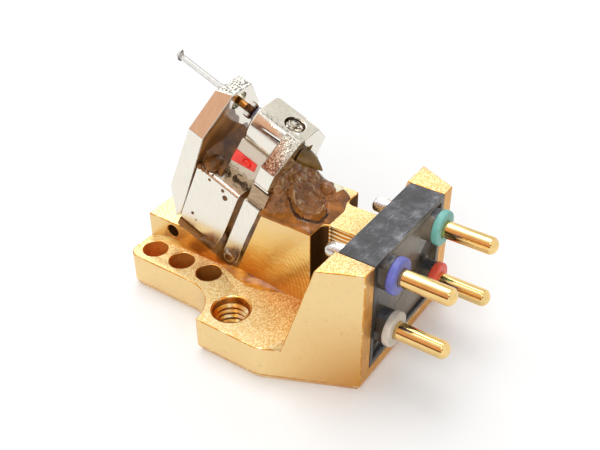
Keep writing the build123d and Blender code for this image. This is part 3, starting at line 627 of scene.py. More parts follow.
class CARTRIDGE_OT_terminals(Operator):
    """Turn the four pins, with their coloured collars and soldered tails"""

    bl_idname = "cartridge.terminals"
    bl_label = "Pins, collars and solder"

    def execute(self, context):
        looks = context.scene.cartridge_finishes
        gold, tin = plated_gold(looks), tin_solder(looks)
        back = Vector((0, -1, 0))
        tail, free, nose, corner, gap = 0.4 * MM, 0.6 * MM, 0.5 * MM, 0.13 * MM, 0.01 * MM
        for number, lead in enumerate(LEADS):
            low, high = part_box(f"terminal_pin_{lead}")
            c_low, c_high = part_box(f"pin_collar_{lead}")
            s_low, s_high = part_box(f"solder_joint_{lead}")
            start = Vector(((low.x + high.x) / 2, high.y, (low.z + high.z) / 2))
            shank, outer = (high.x - low.x) / 2, (c_high.x - c_low.x) / 2
            # Distances back from the pin's front end
            boss, face, tip = high.y - c_high.y, high.y - c_low.y, high.y - low.y
            first, front = high.y - s_high.y, high.y - s_low.y
            bm = bmesh.new()
            lathe(bm, [(0, 0), (0, tail), (front, tail), (front, shank), (boss, shank), (face, free),
                       (face + 0.1 * MM, free), (tip - nose, free)]
                  + arc((tip - nose, 0), (nose, free), 80, 10, 7) + [(tip, 0)], start, back)
            piece(f"pin_{lead}", bm, "root", "pin_plated", [gold], [f"terminal_pin_{lead}"])

            bm = bmesh.new()
            hole, chamfer = free + gap, 0.05 * MM
            lathe(bm, [(boss, shank + gap), (boss, outer - corner)]
                  + arc((boss + corner, outer - corner), (corner, corner), 180, 90, 4)
                  + arc((face - corner, outer - corner), (corner, corner), 90, 0, 4)
                  + [(face, hole + chamfer), (face - chamfer, hole), (boss, shank + gap)], start, back)
            bmesh.ops.remove_doubles(bm, verts=bm.verts, dist=1e-7)
            for v in bm.verts:
                out = Vector((v.co.x - start.x, 0, v.co.z - start.z))
                if out.length > outer * 0.8:
                    wobble = noise.noise(Vector((v.co.x, number * 3.0, v.co.z)) / (1.1 * MM) + Vector((number, 0, 0)))
                    v.co -= out.normalized() * 0.05 * MM * (0.5 + wobble)
            piece(f"collar_{lead}", bm, "root", f"collar_{lead}", [collar_plastic(looks, lead)],
                  [f"pin_collar_{lead}"])

            bm = bmesh.new()
            lathe(bm, [(first, 0)] + arc((first + 0.32 * MM, 0), (0.32 * MM, 0.56 * MM), 170, 90, 6)
                  + [(first + 0.7 * MM, 0.6 * MM), (front - 0.35 * MM, 0.62 * MM), (front, 0.64 * MM), (front, 0)],
                  start, back, 40)
            for v in bm.verts:
                out = Vector((v.co.x - start.x, 0, v.co.z - start.z))
                lump = noise.noise(v.co / (0.5 * MM) + Vector((number * 5.0, 0, 0)))
                v.co -= out * 0.16 * (0.6 + lump)
            piece(f"solder_{lead}", bm, "root", "solder_tin", [tin], [f"solder_joint_{lead}"])
        return {"FINISHED"}


# Finishes of the generator

def plated_nickel(looks):
    """Soft iron, ground and nickel plated: a soft mirror with faint streaks from the grinding."""
    made, tree, shader, place = material("iron_nickel_plated", looks.nickel, 1.0, 0.17)
    turned = add(tree, "Mapping", {"Vector": place, "Rotation": (math.radians(35), 0.0, 0.0),
                                   "Scale": (1.0, 7.0, 1.0)})
    streaks = add(tree, "TexNoise", {"Vector": turned, "Scale": per(0.9 * MM), "Detail": 4.0})
    shade = add(tree, "ValToRGB", {"Fac": streaks}, stops=[(0.3, times(looks.nickel, 0.93)), (0.6, looks.nickel)])
    feed(tree, shader, {"Base Color": shade,
                        "Roughness": add(tree, "MapRange", {"Value": streaks, "From Min": 0.3, "From Max": 0.7,
                                                            "To Min": 0.12, "To Max": 0.24}),
                        "Normal": add(tree, "Bump", {"Height": streaks, "Strength": 0.08, "Distance": 0.02 * MM})})
    return made


def speckled_nickel(looks):
    """The plating over a coarse lapped face: short dark dashes on a bright ground."""
    stops = [(at, times(looks.nickel, amount)) for at, amount in ((0.4, 0.08), (0.48, 0.3), (0.57, 0.66))]
    return mottled("iron_nickel_speckled", looks.nickel, 1.0, 0.2, looks.speckle * 1.5 / MM, 2.0, stops,
                   turned=((0, 0, -20), (1.0, 2.2, 1.0)), grain={"Roughness": 0.6})


def lapped_nickel(looks):
    """The plating over the pole's fine lapped top: plain soft grey, with dark specks along its near edge alone."""
    made, tree, shader, place = material("iron_nickel_lapped", looks.nickel, 1.0, 0.24)
    pits = add(tree, "TexNoise", {"Vector": place, "Scale": per(looks.speckle), "Detail": 3.0, "Roughness": 0.7})
    edge = gradient(tree, place, "X", -0.35, -1.05, 0.16, -0.02)
    total = add(tree, "Math", {0: pits, 1: edge}, operation="ADD")
    stops = [(at, times(looks.nickel, amount)) for at, amount in ((0.36, 0.35), (0.5, 0.86), (0.7, 0.96))]
    feed(tree, shader, {"Base Color": add(tree, "ValToRGB", {"Fac": total}, stops=stops)})
    return made


def crackled_nickel(looks):
    """The plating over a rough ground bevel: a fine crackle, brown in its lower half and grey above."""
    made, tree, shader, place = material("iron_nickel_crackled", looks.nickel, 1.0, 0.25)
    cells = add(tree, "TexNoise", {"Vector": place, "Scale": per(looks.crackle), "Detail": 2.0, "Roughness": 0.6,
                                   "Distortion": 0.8})
    brown = add(tree, "ValToRGB", {"Fac": cells}, stops=[(0.4, "5E2F1A"), (0.5, "B98468"), (0.6, looks.nickel)])
    grey = add(tree, "ValToRGB", {"Fac": cells}, stops=[(0.38, "8E8676"), (0.5, "CFC6B6"), (0.6, looks.nickel)])
    up = climb(tree, place, -0.35, 0.75)
    feed(tree, shader, {"Base Color": add(tree, "Mix", {0: up, 6: brown, 7: grey}, data_type="RGBA"),
                        "Normal": add(tree, "Bump", {"Height": cells, "Strength": 0.5, "Distance": 0.03 * MM})})
    return made


def smeared_nickel(looks):
    """The front yoke's back: bare plating round the hole, and a dark film of resin over the rest that still
    mirrors."""
    made, tree, shader, place = material("iron_nickel_resin_smeared", looks.nickel, 1.0, 0.15)
    slant = (1.1, RISE.y, RISE.z)
    up = add(tree, "VectorMath", {0: place, 1: slant}, operation="DOT_PRODUCT")
    wave = add(tree, "TexNoise", {"Vector": place, "Scale": per(1.6 * MM), "Detail": 0.0})
    shift = add(tree, "MapRange", {"Value": wave, "From Min": 0.3, "From Max": 0.7, "To Min": -0.4 * MM,
                                   "To Max": 0.4 * MM})
    level = add(tree, "Math", {0: up, 1: shift}, operation="ADD")
    line, blur = AXIS.dot(RISE) - 1.15 * MM, 0.08 * MM
    bare = add(tree, "MapRange", {"Value": level, "From Min": line - blur, "From Max": line + blur})
    film = add(tree, "ValToRGB", {"Fac": wave}, stops=[(0.3, "76502C"), (0.55, "A67444"), (0.8, "C0925E")])
    feed(tree, shader, {"Base Color": add(tree, "Mix", {0: bare, 6: film, 7: looks.nickel}, data_type="RGBA"),
                        "Metallic": bare,
                        "Roughness": add(tree, "MapRange", {"Value": bare, "To Min": 0.08, "To Max": 0.17})})
    return made


def flux_joint(looks):
    """Flux left in a joint: dull dark brown, a little uneven."""
    return mottled("flux_set_in_joint", looks.tarnish, 0.0, 0.5, 0.4, 3.0,
                   [(0.3, times(looks.tarnish, 0.1)), (0.7, times(looks.tarnish, 0.4))])


def ground_bronze(looks):
    """Bronze, ground: dull grey tan with fine lines across it."""
    return mottled("bronze_ground", looks.spacer, 1.0, 0.34, 0.6, 4.0,
                   [(0.3, times(looks.spacer, 0.7)), (0.55, looks.spacer), (0.75, times(looks.spacer, 1.25))],
                   turned=((-22, 0, 0), (1.0, 1.0, 6.0)))


def sintered_magnet(looks):
    """Sintered magnet, ground: plain grey above, and below the mark a brown mottling that grows darker towards its
    foot.
    """
    made, tree, shader, place = material("sintered_magnet_ground", looks.magnet, 0.5, 0.4)
    stain = add(tree, "TexNoise", {"Vector": place, "Scale": per(0.35 * MM), "Detail": 5.0, "Roughness": 0.7})
    low = add(tree, "MapRange", {"Value": climb(tree, place, -4.3, -2.4), "To Min": 0.26, "To Max": -0.2})
    total = add(tree, "Math", {0: stain, 1: low}, operation="ADD")
    stops = [(0.5, looks.magnet), (0.58, "9A8462"), (0.64, "D8C8A8"), (0.7, "5A442C"), (0.8, "2E1E10")]
    feed(tree, shader, {"Base Color": add(tree, "ValToRGB", {"Fac": total}, stops=stops)})
    return made


def red_paint(looks):
    """Enamel paint, brushed on: glossy red that pools a little."""
    return mottled("enamel_paint_red", looks.mark, 0.0, 0.12, 0.7, 2.0,
                   [(0.3, times(looks.mark, 0.8)), (0.7, "FF3C24")], Specular_IOR_Level=0.5)


def turned_steel(looks):
    """Steel, turned and burnished: a bright swirl of grey and dark brown."""
    return mottled("steel_turned", times(looks.nickel, 0.85), 1.0, 0.14, 0.4, 2.0,
                   [(0.4, "4A433C"), (0.5, "B5AEA2"), (0.6, looks.nickel)], relief=(0.3, 0.03),
                   grain={"Distortion": 1.0})


def moulded_rubber():
    """Rubber, moulded: matt grey violet with a pale bloom."""
    return mottled("rubber_moulded", linear("6A6478"), 0.0, 0.6, 0.3, 3.0, [(0.3, "4A4456"), (0.7, "8C8698")])


def former_film():
    """Polyester film, punched: smooth and off white."""
    return mottled("polyester_film_former", linear("DDD8CC"), 0.0, 0.35, 0.4, 2.0, [(0.3, "C9C2B2"), (0.7, "EFECE4")])


def enamelled_copper():
    """Copper wire, enamelled: dark brown varnish with bright copper where it is thin."""
    return mottled("copper_wire_enamelled", linear("6E4420"), 0.8, 0.25, 0.3, 2.0,
                   [(0.35, "2A1A10"), (0.6, "8A5528"), (0.8, "D8C2A4")], Coat_Weight=0.5)


def drawn_copper(looks):
    """Copper alloy pipe, drawn: a soft orange mirror, darker where it has tarnished."""
    return mottled("copper_alloy_drawn", looks.copper, 1.0, 0.2, 0.4, 3.0,
                   [(0.3, times(looks.copper, 0.55)), (0.7, times(looks.copper, 1.1))])


def ground_sapphire():
    """Sapphire rod, ground: clear, a little hazy, and painted darker towards its rim where it turns away from the view,
    a painted shade in place of the dark edge that a clear rod shows.
    """
    made, tree, shader, place = material("sapphire_ground_rod", linear("F4F2EE"), 0.0, 0.08, IOR=1.77,
                                         Transmission_Weight=0.6)
    haze = add(tree, "TexNoise", {"Vector": place, "Scale": per(0.5 * MM), "Detail": 2.0})
    # Painted shade: the colour darkens where the surface turns away from the view
    rim = add(tree, "LayerWeight", {"Blend": 0.5}, "Facing")
    shade = add(tree, "ValToRGB", {"Fac": rim}, stops=[(0.3, "F4F2EE"), (0.55, "AEACAA"), (0.8, "44403C")])
    feed(tree, shader, {"Base Color": shade,
                        "Roughness": add(tree, "MapRange", {"Value": haze, "To Min": 0.03, "To Max": 0.2})})
    return made


def polished_diamond():
    """Diamond, cut and polished: clear, with hard bright reflections."""
    made, tree, shader, place = material("diamond_polished", linear("D8D2C4"), 0.0, 0.03, IOR=2.42,
                                         Transmission_Weight=0.7)
    facet = add(tree, "TexNoise", {"Vector": place, "Scale": per(0.2 * MM), "Detail": 1.0})
    feed(tree, shader, {"Roughness": add(tree, "MapRange", {"Value": facet, "To Min": 0.01, "To Max": 0.08})})
    return made


def cement_bead():
    """Epoxy cement, set as a bead: glossy grey brown."""
    return mottled("epoxy_cement_bead", linear("5A5048"), 0.0, 0.2, 0.15, 2.0, [(0.3, "3C342E"), (0.7, "8A8078")],
                   Coat_Weight=0.5)


# The spacer's layers: a thin plated shim above, the bronze, another thin leaf and the dark joint that shows between
# them, each with its top and foot in rise, half its width, its front and back in depth, and its finish
SPACER_LAYERS = ((-2.1, -2.27, 2.9, 5.66, 6.8, plated_nickel), (-2.36, -3.62, 2.94, 5.62, 6.98, ground_bronze),
                 (-3.7, -3.84, 2.9, 5.6, 6.8, ground_bronze), (-2.04, -3.98, 2.8, 5.7, 6.76, flux_joint))


class CARTRIDGE_OT_yokes(Operator):
    """Dress the two yokes, the spacer, the leg and the pole block"""

    bl_idname = "cartridge.yokes"
    bl_label = "Yokes, leg and pole block"

    def execute(self, context):
        looks, sizes = context.scene.cartridge_finishes, context.scene.cartridge_sizes
        makers = (plated_nickel, speckled_nickel, lapped_nickel, crackled_nickel, smeared_nickel)
        finishes = [maker(looks) for maker in makers]
        for name, node in (("yoke_front", "front_yoke"), ("yoke_rear", "rear_yoke"), ("leg", "rear_leg"),
                           ("block_pole", "pole_block")):
            bm = solid_of(node)
            for face in bm.faces:
                up, back = face.normal.dot(RISE), face.normal.dot(DEPTH)
                bevel = abs(back) < 0.4 and 0.6 < up < 0.8 and face.calc_area() > MM * MM
                maker = plated_nickel
                if node == "front_yoke" and back > 0.98:
                    maker = smeared_nickel
                elif node == "front_yoke" and up > 0.93:
                    maker = speckled_nickel
                elif node == "rear_yoke" and up > 0.93:
                    maker = lapped_nickel
                elif node == "rear_yoke" and bevel:
                    maker = crackled_nickel
                face.material_index = makers.index(maker)
            piece(name, bm, "root", "yoke_plated", finishes, [node], bevel=sizes.plated_edge)

        bm = bmesh.new()
        makers = (ground_bronze, plated_nickel, flux_joint)
        for top, foot, half, front, back, maker in SPACER_LAYERS:
            made = bmesh.ops.create_cube(bm, size=1.0)["verts"]
            for v in made:
                v.co = gen(v.co.x * 2 * half, (front + back) / 2 + v.co.y * (back - front),
                           (top + foot) / 2 + v.co.z * (top - foot))
            for face in {f for v in made for f in v.link_faces}:
                face.material_index = makers.index(maker)
        piece("spacer", bm, "root", "spacer_metal", [ground_bronze(looks), finishes[0], flux_joint(looks)],
              ["yoke_spacer"], bevel=0.03 * MM)
        return {"FINISHED"}


class CARTRIDGE_OT_magnet(Operator):
    """Dress the magnet and its red polarity mark"""

    bl_idname = "cartridge.magnet"
    bl_label = "Magnet and mark"

    def execute(self, context):
        looks = context.scene.cartridge_finishes
        piece("magnet_block", solid_of("magnet"), "root", "magnet_sintered", [sintered_magnet(looks)], ["magnet"],
              bevel=0.03 * MM)
        bm = solid_of("polarity_mark")
        # A drop of paint that was left standing on the mark
        ball(bm, gen(-1.81, 4.2, -2.34), 0.26, 0.36, 0.3, 28)
        piece("red_mark", bm, "root", "mark_paint", [red_paint(looks)], ["polarity_mark"])
        return {"FINISHED"}


class CARTRIDGE_OT_clamp(Operator):
    """Dress the clamp screw, the wire's sleeve and the tie wire"""

    bl_idname = "cartridge.clamp"
    bl_label = "Clamp screw and tie wire"

    def execute(self, context):
        looks = context.scene.cartridge_finishes
        steel = turned_steel(looks)
        low, high, head, seat = 0.38, 1.25, 0.56, 0.68
        middle = gen(0, CLAMP_DEPTH, 0)
        bm = bmesh.new()
        dish = [(high - 0.19 + 0.16 * (k / 8) ** 2, 0.46 * k / 8) for k in range(8, -1, -1)]
        profile = [(low, 0), (low, seat), (high - 0.28, seat), (high - 0.13, head + 0.01), (high - 0.03, head),
                   (high, 0.52)] + dish
        rings = lathe(bm, [(rise * MM, radius * MM) for rise, radius in profile], middle, RISE, 64)
        # The slot, sunk into the rim and the dish
        for v in {v for ring in rings[5:] for v in ring}:
            v.co -= RISE * 0.2 * MM * (1 - ease(abs(v.co.x) / MM, 0.08, 0.17))
        for face in bm.faces:
            span = face.calc_center_median() - middle
            face.material_index = int((span - RISE * span.dot(RISE)).length > head * MM)
        piece("screw_clamp", bm, "root", "screw_steel", [steel, flux_joint(looks)], ["clamp_screw"])
        piece("sleeve_wire", solid_of("wire_sleeve"), "root", "sleeve_brass", [plated_gold(looks)], ["wire_sleeve"])
        piece("wire_tie", solid_of("tie_wire"), "suspension", "wire_steel", [steel], ["tie_wire"])
        return {"FINISHED"}


class CARTRIDGE_OT_armature(Operator):
    """Build the damper, the former and its two windings"""

    bl_idname = "cartridge.armature"
    bl_label = "Damper and windings"

    def execute(self, context):
        sizes = context.scene.cartridge_sizes
        piece("damper", solid_of("damper_ring"), "suspension", "damper_rubber", [moulded_rubber()], ["damper_ring"],
              bevel=0.06 * MM)
        piece("former", solid_of("coil_former"), "stylus_arm", "former_plastic", [former_film()], ["coil_former"],
              bevel=0.03 * MM)

        enamel = enamelled_copper()
        across = (Vector((1, 0, 0)) + RISE).normalized()
        other = DEPTH.cross(across)
        middle = AXIS + DEPTH * 2.29 * MM
        radius, band = sizes.wire / 2, 0.52 * MM
        for name, node, lift, long, wide in (("winding_left", "coil_left", 0.0, across, other),
                                             ("winding_right", "coil_right", 0.07, other, across)):
            bm = bmesh.new()
            reach, thick = (0.5 + lift) * MM + radius, (0.18 + lift) * MM + radius
            for turn in range(sizes.turns):
                shift = wide * (band - sizes.wire) * (turn / (sizes.turns - 1) - 0.5)
                points = []
                for k in range(24):
                    t = 2 * math.pi * k / 24
                    c, s = math.cos(t), math.sin(t)
                    points.append(middle + shift + long * reach * math.copysign(abs(c) ** 0.35, c)
                                  + DEPTH * thick * math.copysign(abs(s) ** 0.35, s))
                sweep(bm, points, [radius] * len(points), 6, True)
            piece(name, bm, "stylus_arm", "coil_enamel", [enamel], [node])
        return {"FINISHED"}


class CARTRIDGE_OT_cantilever(Operator):
    """Dress the cantilever's pipe and rod, and the stylus"""

    bl_idname = "cartridge.cantilever"
    bl_label = "Cantilever and stylus"

    def execute(self, context):
        looks = context.scene.cartridge_finishes
        for name, node, slot, finish, bevel in (
                ("pipe", "cantilever_pipe", "pipe_metal", drawn_copper(looks), 0.0),
                ("rod", "cantilever_rod", "rod_crystal", ground_sapphire(), 0.0),
                ("diamond", "stylus_diamond", "stylus_crystal", polished_diamond(), 0.0),
                ("bead", "stylus_bead", "bead_resin", cement_bead(), 0.04 * MM)):
            piece(name, solid_of(node), "stylus_arm", slot, [finish], [node], bevel=bevel)
        return {"FINISHED"}


# Finishes of the resin

def cast_resin(name, shade, clear, speck_and_glint_share=0.0):
    """Epoxy resin, cast by hand: glossy and half clear, dark where it is thick and amber where it is thin, with pale
    specks where it was heaped, which stand in both for tiny air pockets in it and for painted glints."""
    made, tree, shader, place = material(name, shade, 0.0, 0.06, IOR=1.55, Transmission_Weight=clear,
                                         Specular_IOR_Level=0.3)
    cloud = add(tree, "TexNoise", {"Vector": place, "Scale": per(1.1 * MM), "Detail": 3.0, "Distortion": 0.4})
    depth = add(tree, "ValToRGB", {"Fac": cloud}, stops=[(0.3, times(shade, 0.4)), (0.48, shade),
                                                         (0.72, times(shade, 2.0))])
    # Pale specks where it is heaped: partly tiny air pockets, partly painted glints
    speck_and_glint_noise = add(tree, "TexNoise", {"Vector": place, "Scale": per(0.45 * MM), "Detail": 4.0, "Roughness": 0.7,
                                  "Distortion": 0.8})
    specks_and_glints = add(tree, "ValToRGB", {"Fac": speck_and_glint_noise}, stops=[(0.36, times(shade, 0.15)), (0.5, shade), (0.58, "A47A48"),
                                                          (0.68, "EAD6B4")])
    heaped = gradient(tree, place, "Z", SPINE_TOP + 0.4, SPINE_TOP + 1.3, 0.0, speck_and_glint_share)
    ripple = add(tree, "TexNoise", {"Vector": place, "Scale": per(0.6 * MM), "Detail": 1.0})
    feed(tree, shader, {"Base Color": add(tree, "Mix", {0: heaped, 6: depth, 7: specks_and_glints}, data_type="RGBA"),
                        "Normal": add(tree, "Bump", {"Height": ripple, "Strength": 0.5, "Distance": 0.06 * MM})})
    return made


def film_resin(name, thick, thin):
    """The same resin in one colour, for painted light: a pale painted highlight on the flat drop's raised rim, a dark
    painted shade in the groove outside it, and a pale painted reflection where it thins out on the far side."""
    return mottled(name, linear(thick), 0.0, 0.06, 0.5, 3.0, [(0.35, thick), (0.6, thin)], IOR=1.55,
                   Specular_IOR_Level=0.3)


# The potting in millimetres: its sides, and its height over the spine from the back to the rear yoke
POTTING_NEAR, POTTING_FAR = -2.97, 2.88
POTTING_HEAP = ((-4.6, 0.0), (-4.0, 0.12), (-3.5, 0.3), (-3.0, 0.48), (-2.4, 0.75), (-1.9, 1.35), (-1.5, 2.1),
                (-1.18, 2.86), (0.1, 3.2))
# Bubbles and lumps in the potting: place across, place along and radius
POTTING_BUBBLES = ((0.33, -2.9, 0.2), (0.51, -3.44, 0.14), (0.85, -3.68, 0.13), (-0.7, -3.76, 0.16), (0.62, -3.2, 0.1),
                   (0.45, -1.8, 0.14), (-0.15, -1.45, 0.16), (-1.9, -1.7, 0.12), (-0.9, -1.5, 0.1))
# How steeply the rear yoke's back rises over it
YOKE_SLOPE = 2.444
# A round lump on the far side of the potting, and its radius
POTTING_LUMP, LUMP_RADIUS = Vector((1.16, -2.62, SPINE_TOP + 0.5)), 0.62
# The flat round drop: its middle and radius
DROP_MIDDLE, DROP_RADIUS = (-1.15, -2.75), 1.2
# Where the potting thins out on the far side, painted pale as a reflection of the bright background: place along and
# place across
FAR_PAINTED_GLARE = ((-3.55, 2.7), (-3.45, 2.1), (-3.26, 1.4), (-3.03, 1.6), (-2.65, 2.0), (-1.6, 2.0), (0.0, 2.2))


def potting_rear(x):
    """The potting's rear edge: it runs a little way over the neck and leaves the far corner bare."""
    return -4.1 - 0.4 * ease(x, -1.5, -1.25) * ease(x, 1.7, 0.4) + 1.1 * ease(x, 1.9, 2.95)


def in_drop(x, y):
    """How far out a place is on the flat round drop, with 1 at its edge."""
    return math.hypot(x - DROP_MIDDLE[0], y - DROP_MIDDLE[1]) / DROP_RADIUS


def potting_height(x, y):
    """The potting's height over the spine: a film, heaped against the rear yoke, with a flat round drop on it."""
    inside = max(0.0, min(x - POTTING_NEAR, POTTING_FAR - x, y - potting_rear(x)))
    film = 0.02 + 0.14 * (1 - math.exp(-inside / 0.1))
    heap = along_curve(POTTING_HEAP, y) * (0.3 + 0.7 * ease(x, -3.0, -2.2))
    heap *= ease(inside, -0.1, 0.7)
    lumps = noise.fractal(Vector((x, y, 0.0)) * 1.3, 1.0, 2.0, 2) * 0.22 * ease(heap, 0.3, 1.2)
    # The far side falls away in one smooth slope
    slope = (0.82 + 0.6 * ease(y, -2.3, -1.4)) * (2.75 - x)
    heap = max(0.0, min(heap + lumps, slope))
    ring = in_drop(x, y)
    drop = 0.24 * (1 - ease(ring, 0.86, 1.02)) + 0.14 * math.exp(-((ring - 0.84) / 0.06) ** 2)
    groove = 0.08 * math.exp(-((ring - 1.06) / 0.06) ** 2)
    # The rear yoke's back leans over the potting and stops it
    return max(0.01, min(film + heap + drop - groove, (0.016 - y) * YOKE_SLOPE))


class CARTRIDGE_OT_potting(Operator):
    """Pour the potting resin over the spine, and draw out the drop over the wire's end"""

    bl_idname = "cartridge.potting"
    bl_label = "Potting and wire drop"

    def execute(self, context):
        looks = context.scene.cartridge_finishes
        across, along = 110, 110
        top, foot = [], []
        for i in range(across + 1):
            x = POTTING_NEAR + (POTTING_FAR - POTTING_NEAR) * i / across
            rear = potting_rear(x)
            places = [rear - rear * j / along for j in range(along + 1)]
            top.append([Vector((x, y, SPINE_TOP + potting_height(x, y))) * MM for y in places])
            foot.append([Vector((x, y, SPINE_TOP - 0.02)) * MM for y in places])
        bm = bmesh.new()
        shell(bm, top, foot)
        ball(bm, POTTING_LUMP * MM, LUMP_RADIUS, LUMP_RADIUS, LUMP_RADIUS - 0.02, 32)
        for x, y, radius in POTTING_BUBBLES:
            middle = Vector((x, y, SPINE_TOP + potting_height(x, y))) * MM
            ball(bm, middle, radius, radius, radius * 0.8)
        finishes = [cast_resin("epoxy_cast_brown", looks.resin, 0.2, 0.75),
                    film_resin("epoxy_cast_rim", "B98A54", "E6C898"),
                    film_resin("epoxy_cast_groove", "2C1608", "4A2A12"),
                    film_resin("epoxy_cast_clear", "F4E8B8", "FDF8E2")]
        brown, rim, groove, clear = range(4)
        for face in bm.faces:
            spot = face.calc_center_median() / MM
            ring, nearness = in_drop(spot.x, spot.y), spot.x * 0.66 + spot.y * 0.45
            # Painted light: a highlight on the drop's rim, shade in the groove outside it, and a pale reflection on the
            # far side
            if (spot - POTTING_LUMP).length < LUMP_RADIUS + 0.08:
                finish = brown
            elif 0.76 < ring < 0.84 and nearness < -2.0:
                finish = rim
            elif 0.99 < ring < 1.12 and nearness < -2.15:
                finish = groove
            elif spot.x > along_curve(FAR_PAINTED_GLARE, spot.y) and spot.z - SPINE_TOP < 1.7:
                finish = clear
            else:
                finish = brown
            face.material_index = finish
        piece("potting", bm, "root", "potting_resin", finishes, ["potting_resin"])

        # Drop over the wire's end: round at the yoke, drawn back to a point, with a spur on top
        bm = bmesh.new()
        steps = [k / 24 for k in range(25)]
        sweep(bm, [gen(-0.26 + 0.28 * t, 6.79 + 1.74 * t, -0.12 - 0.28 * t * t) for t in steps],
              [(0.03 + 0.58 * (1 - t ** 1.9)) * MM for t in steps], 32)
        sweep(bm, [gen(-0.02 + 0.14 * t, 7.0 + 0.14 * t, 0.2 + 0.55 * t) for t in steps],
              [(0.03 + 0.17 * (1 - t)) * MM for t in steps], 16)
        olive = cast_resin("epoxy_drawn_olive", linear("7C5C26"), 0.35)
        piece("drop_wire", bm, "root", "potting_resin", [olive], ["wire_drop"])
        return {"FINISHED"}


# The pool of resin along the seat, seen from the near side: depth and rise of its upper edge
POOL_EDGE = ((1.42, -10.02), (1.6, -9.95), (2.15, -10.12), (2.9, -10.05), (3.42, -10.08), (3.9, -9.66), (4.5, -9.62),
             (4.8, -9.62), (4.95, -8.7), (5.12, -8.0), (5.3, -8.4), (5.42, -9.3), (5.6, -9.75), (6.6, -9.8),
             (7.02, -9.5))
# Small drops on the pole block's near face: depth, rise and radius
BLOCK_DROPS = ((2.55, -4.75, 0.12), (3.75, -4.79, 0.14), (4.09, -5.23, 0.21), (2.19, -8.62, 0.13), (2.62, -8.99, 0.07))
# Small drops in the corner behind the front yoke: place across, depth and radius
CORNER_DROPS = ((-2.78, 1.5, 0.2), (-2.8, 1.86, 0.16), (-2.78, 2.2, 0.13), (-2.7, 2.6, 0.1))
# The run of resin on the plate along the spine's foot: place along, reach over the plate, reach up the spine
RUN = ((-2.3, 0.02, 0.02), (-0.2, 0.72, 0.22), (0.6, 0.86, 0.3), (1.6, 0.66, 0.42), (2.4, 0.4, 0.4), (3.0, 0.2, 0.25),
       (3.6, 0.03, 0.1))


class CARTRIDGE_OT_adhesive(Operator):
    """Lay the adhesive between the generator's pieces, with what has run out of the joints"""

    bl_idname = "cartridge.adhesive"
    bl_label = "Adhesive"

    def execute(self, context):
        dark = cast_resin("epoxy_adhesive_dark", linear("74491E"), 0.2)
        clear = cast_resin("epoxy_adhesive_clear", linear("D08026"), 0.1)

        bm = solid_of("yoke_adhesive")
        ball(bm, gen(-1.95, 2.0, -4.1), 0.85, 0.62, 0.5)
        for x, depth, radius in CORNER_DROPS:
            ball(bm, gen(x, depth, -4.38), radius, radius, radius)
        for depth, rise, radius in BLOCK_DROPS:
            ball(bm, gen(-2.85, depth, rise), radius * 0.5, radius, radius)
        piece("resin_yoke", bm, "root", "adhesive_resin", [dark], ["yoke_adhesive"])
        piece("resin_leg", solid_of("leg_adhesive"), "root", "adhesive_resin", [dark], ["leg_adhesive"])

        # Seat: the bed under the generator, its pool at the near side, a blob at the leg's foot and a lens behind
        # the leg
        bm = solid_of("seat_adhesive")
        front, foot = [], []
        for i in range(57):
            depth = POOL_EDGE[0][0] + (POOL_EDGE[-1][0] - POOL_EDGE[0][0]) * i / 56
            edge = along_curve(POOL_EDGE, depth) - SEAT_FLOOR
            face = 2.86 + 0.07 * ease(depth, 5.2, 5.4)
            climbed = [k / 8 for k in range(9)]
            front.append([gen(-face - (SPINE_SIDE - face) * math.sqrt(1 - t * t), depth, SEAT_FLOOR + edge * t)
                          for t in climbed])
            foot.append([gen(-2.75, depth, SEAT_FLOOR + edge * t) for t in climbed])
        shell(bm, front, foot)
        ball(bm, gen(-2.93, 6.05, -9.6), 0.16, 0.5, 0.62, 28)
        front, foot = [], []
        for i in range(25):
            t = i / 24
            swell = math.sin(math.pi * t) ** 0.7
            rise = -4.3 - 5.4 * t
            places = [6.82 - 0.13 * swell + (0.26 + 0.24 * swell) * k / 6 for k in range(7)]
            front.append([gen(-2.96 - 0.05 * swell * math.sin(math.pi * k / 6), d, rise) for k, d in enumerate(places)])
            foot.append([gen(-2.85, d, rise) for d in places])
        shell(bm, front, foot)
        piece("resin_seat", bm, "root", "adhesive_resin", [dark], ["seat_adhesive"])

        # Run of clear resin on the plate, in the corner at the spine's foot, sunk a little into both
        sunk = 0.01
        bm = bmesh.new()
        front, foot = [], []
        for i in range(61):
            y = RUN[0][0] + (RUN[-1][0] - RUN[0][0]) * i / 60
            reach = along_curve([(row[0], row[1]) for row in RUN], y)
            reach *= 1 + 0.04 * noise.noise(Vector((y * 1.3, 0, 0)))
            height = along_curve([(row[0], row[2]) for row in RUN], y)
            spread = [k / 10 for k in range(11)]
            front.append([Vector((sunk - SPINE_SIDE - reach * t, y, PLATE_TOP + sunk + height * (1 - t) ** 1.8)) * MM
                          for t in spread])
            foot.append([Vector((0.05 - SPINE_SIDE - reach * t * 0.98, y, PLATE_TOP - sunk)) * MM for t in spread])
        shell(bm, front, foot)
        piece("resin_run", bm, "root", "adhesive_resin", [clear])
        return {"FINISHED"}


# The photograph's camera: its place in millimetres, its turn, tilt and roll in degrees, and its lens
CAMERA_PLACE = (-40.222, -28.450, 42.079)
CAMERA_TURN, CAMERA_TILT, CAMERA_ROLL = -55.978, 36.229, -0.065
CAMERA_LENS = 52.322
# Lamps, in metres and watts: place, size, power, and whether reflections show them. One behind makes the blasted grain
# sparkle, one is above, one is beside the camera, and a small bare one puts points of light in the resin and the paint
LAMPS = (("lamp_behind", (0.315, 0.21, 0.277), 0.3, 0.34, True), ("lamp_over", (0.06, 0.12, 0.46), 0.35, 1.0, True),
         ("lamp_beside", (-0.32, -0.14, 0.25), 0.3, 0.85, False), ("lamp_spark", (-0.2, -0.05, 0.3), 0.03, 0.03, True))
LAMP_AIM = Vector((0, 0, 0.006))
WHITE = (1, 1, 1, 1)


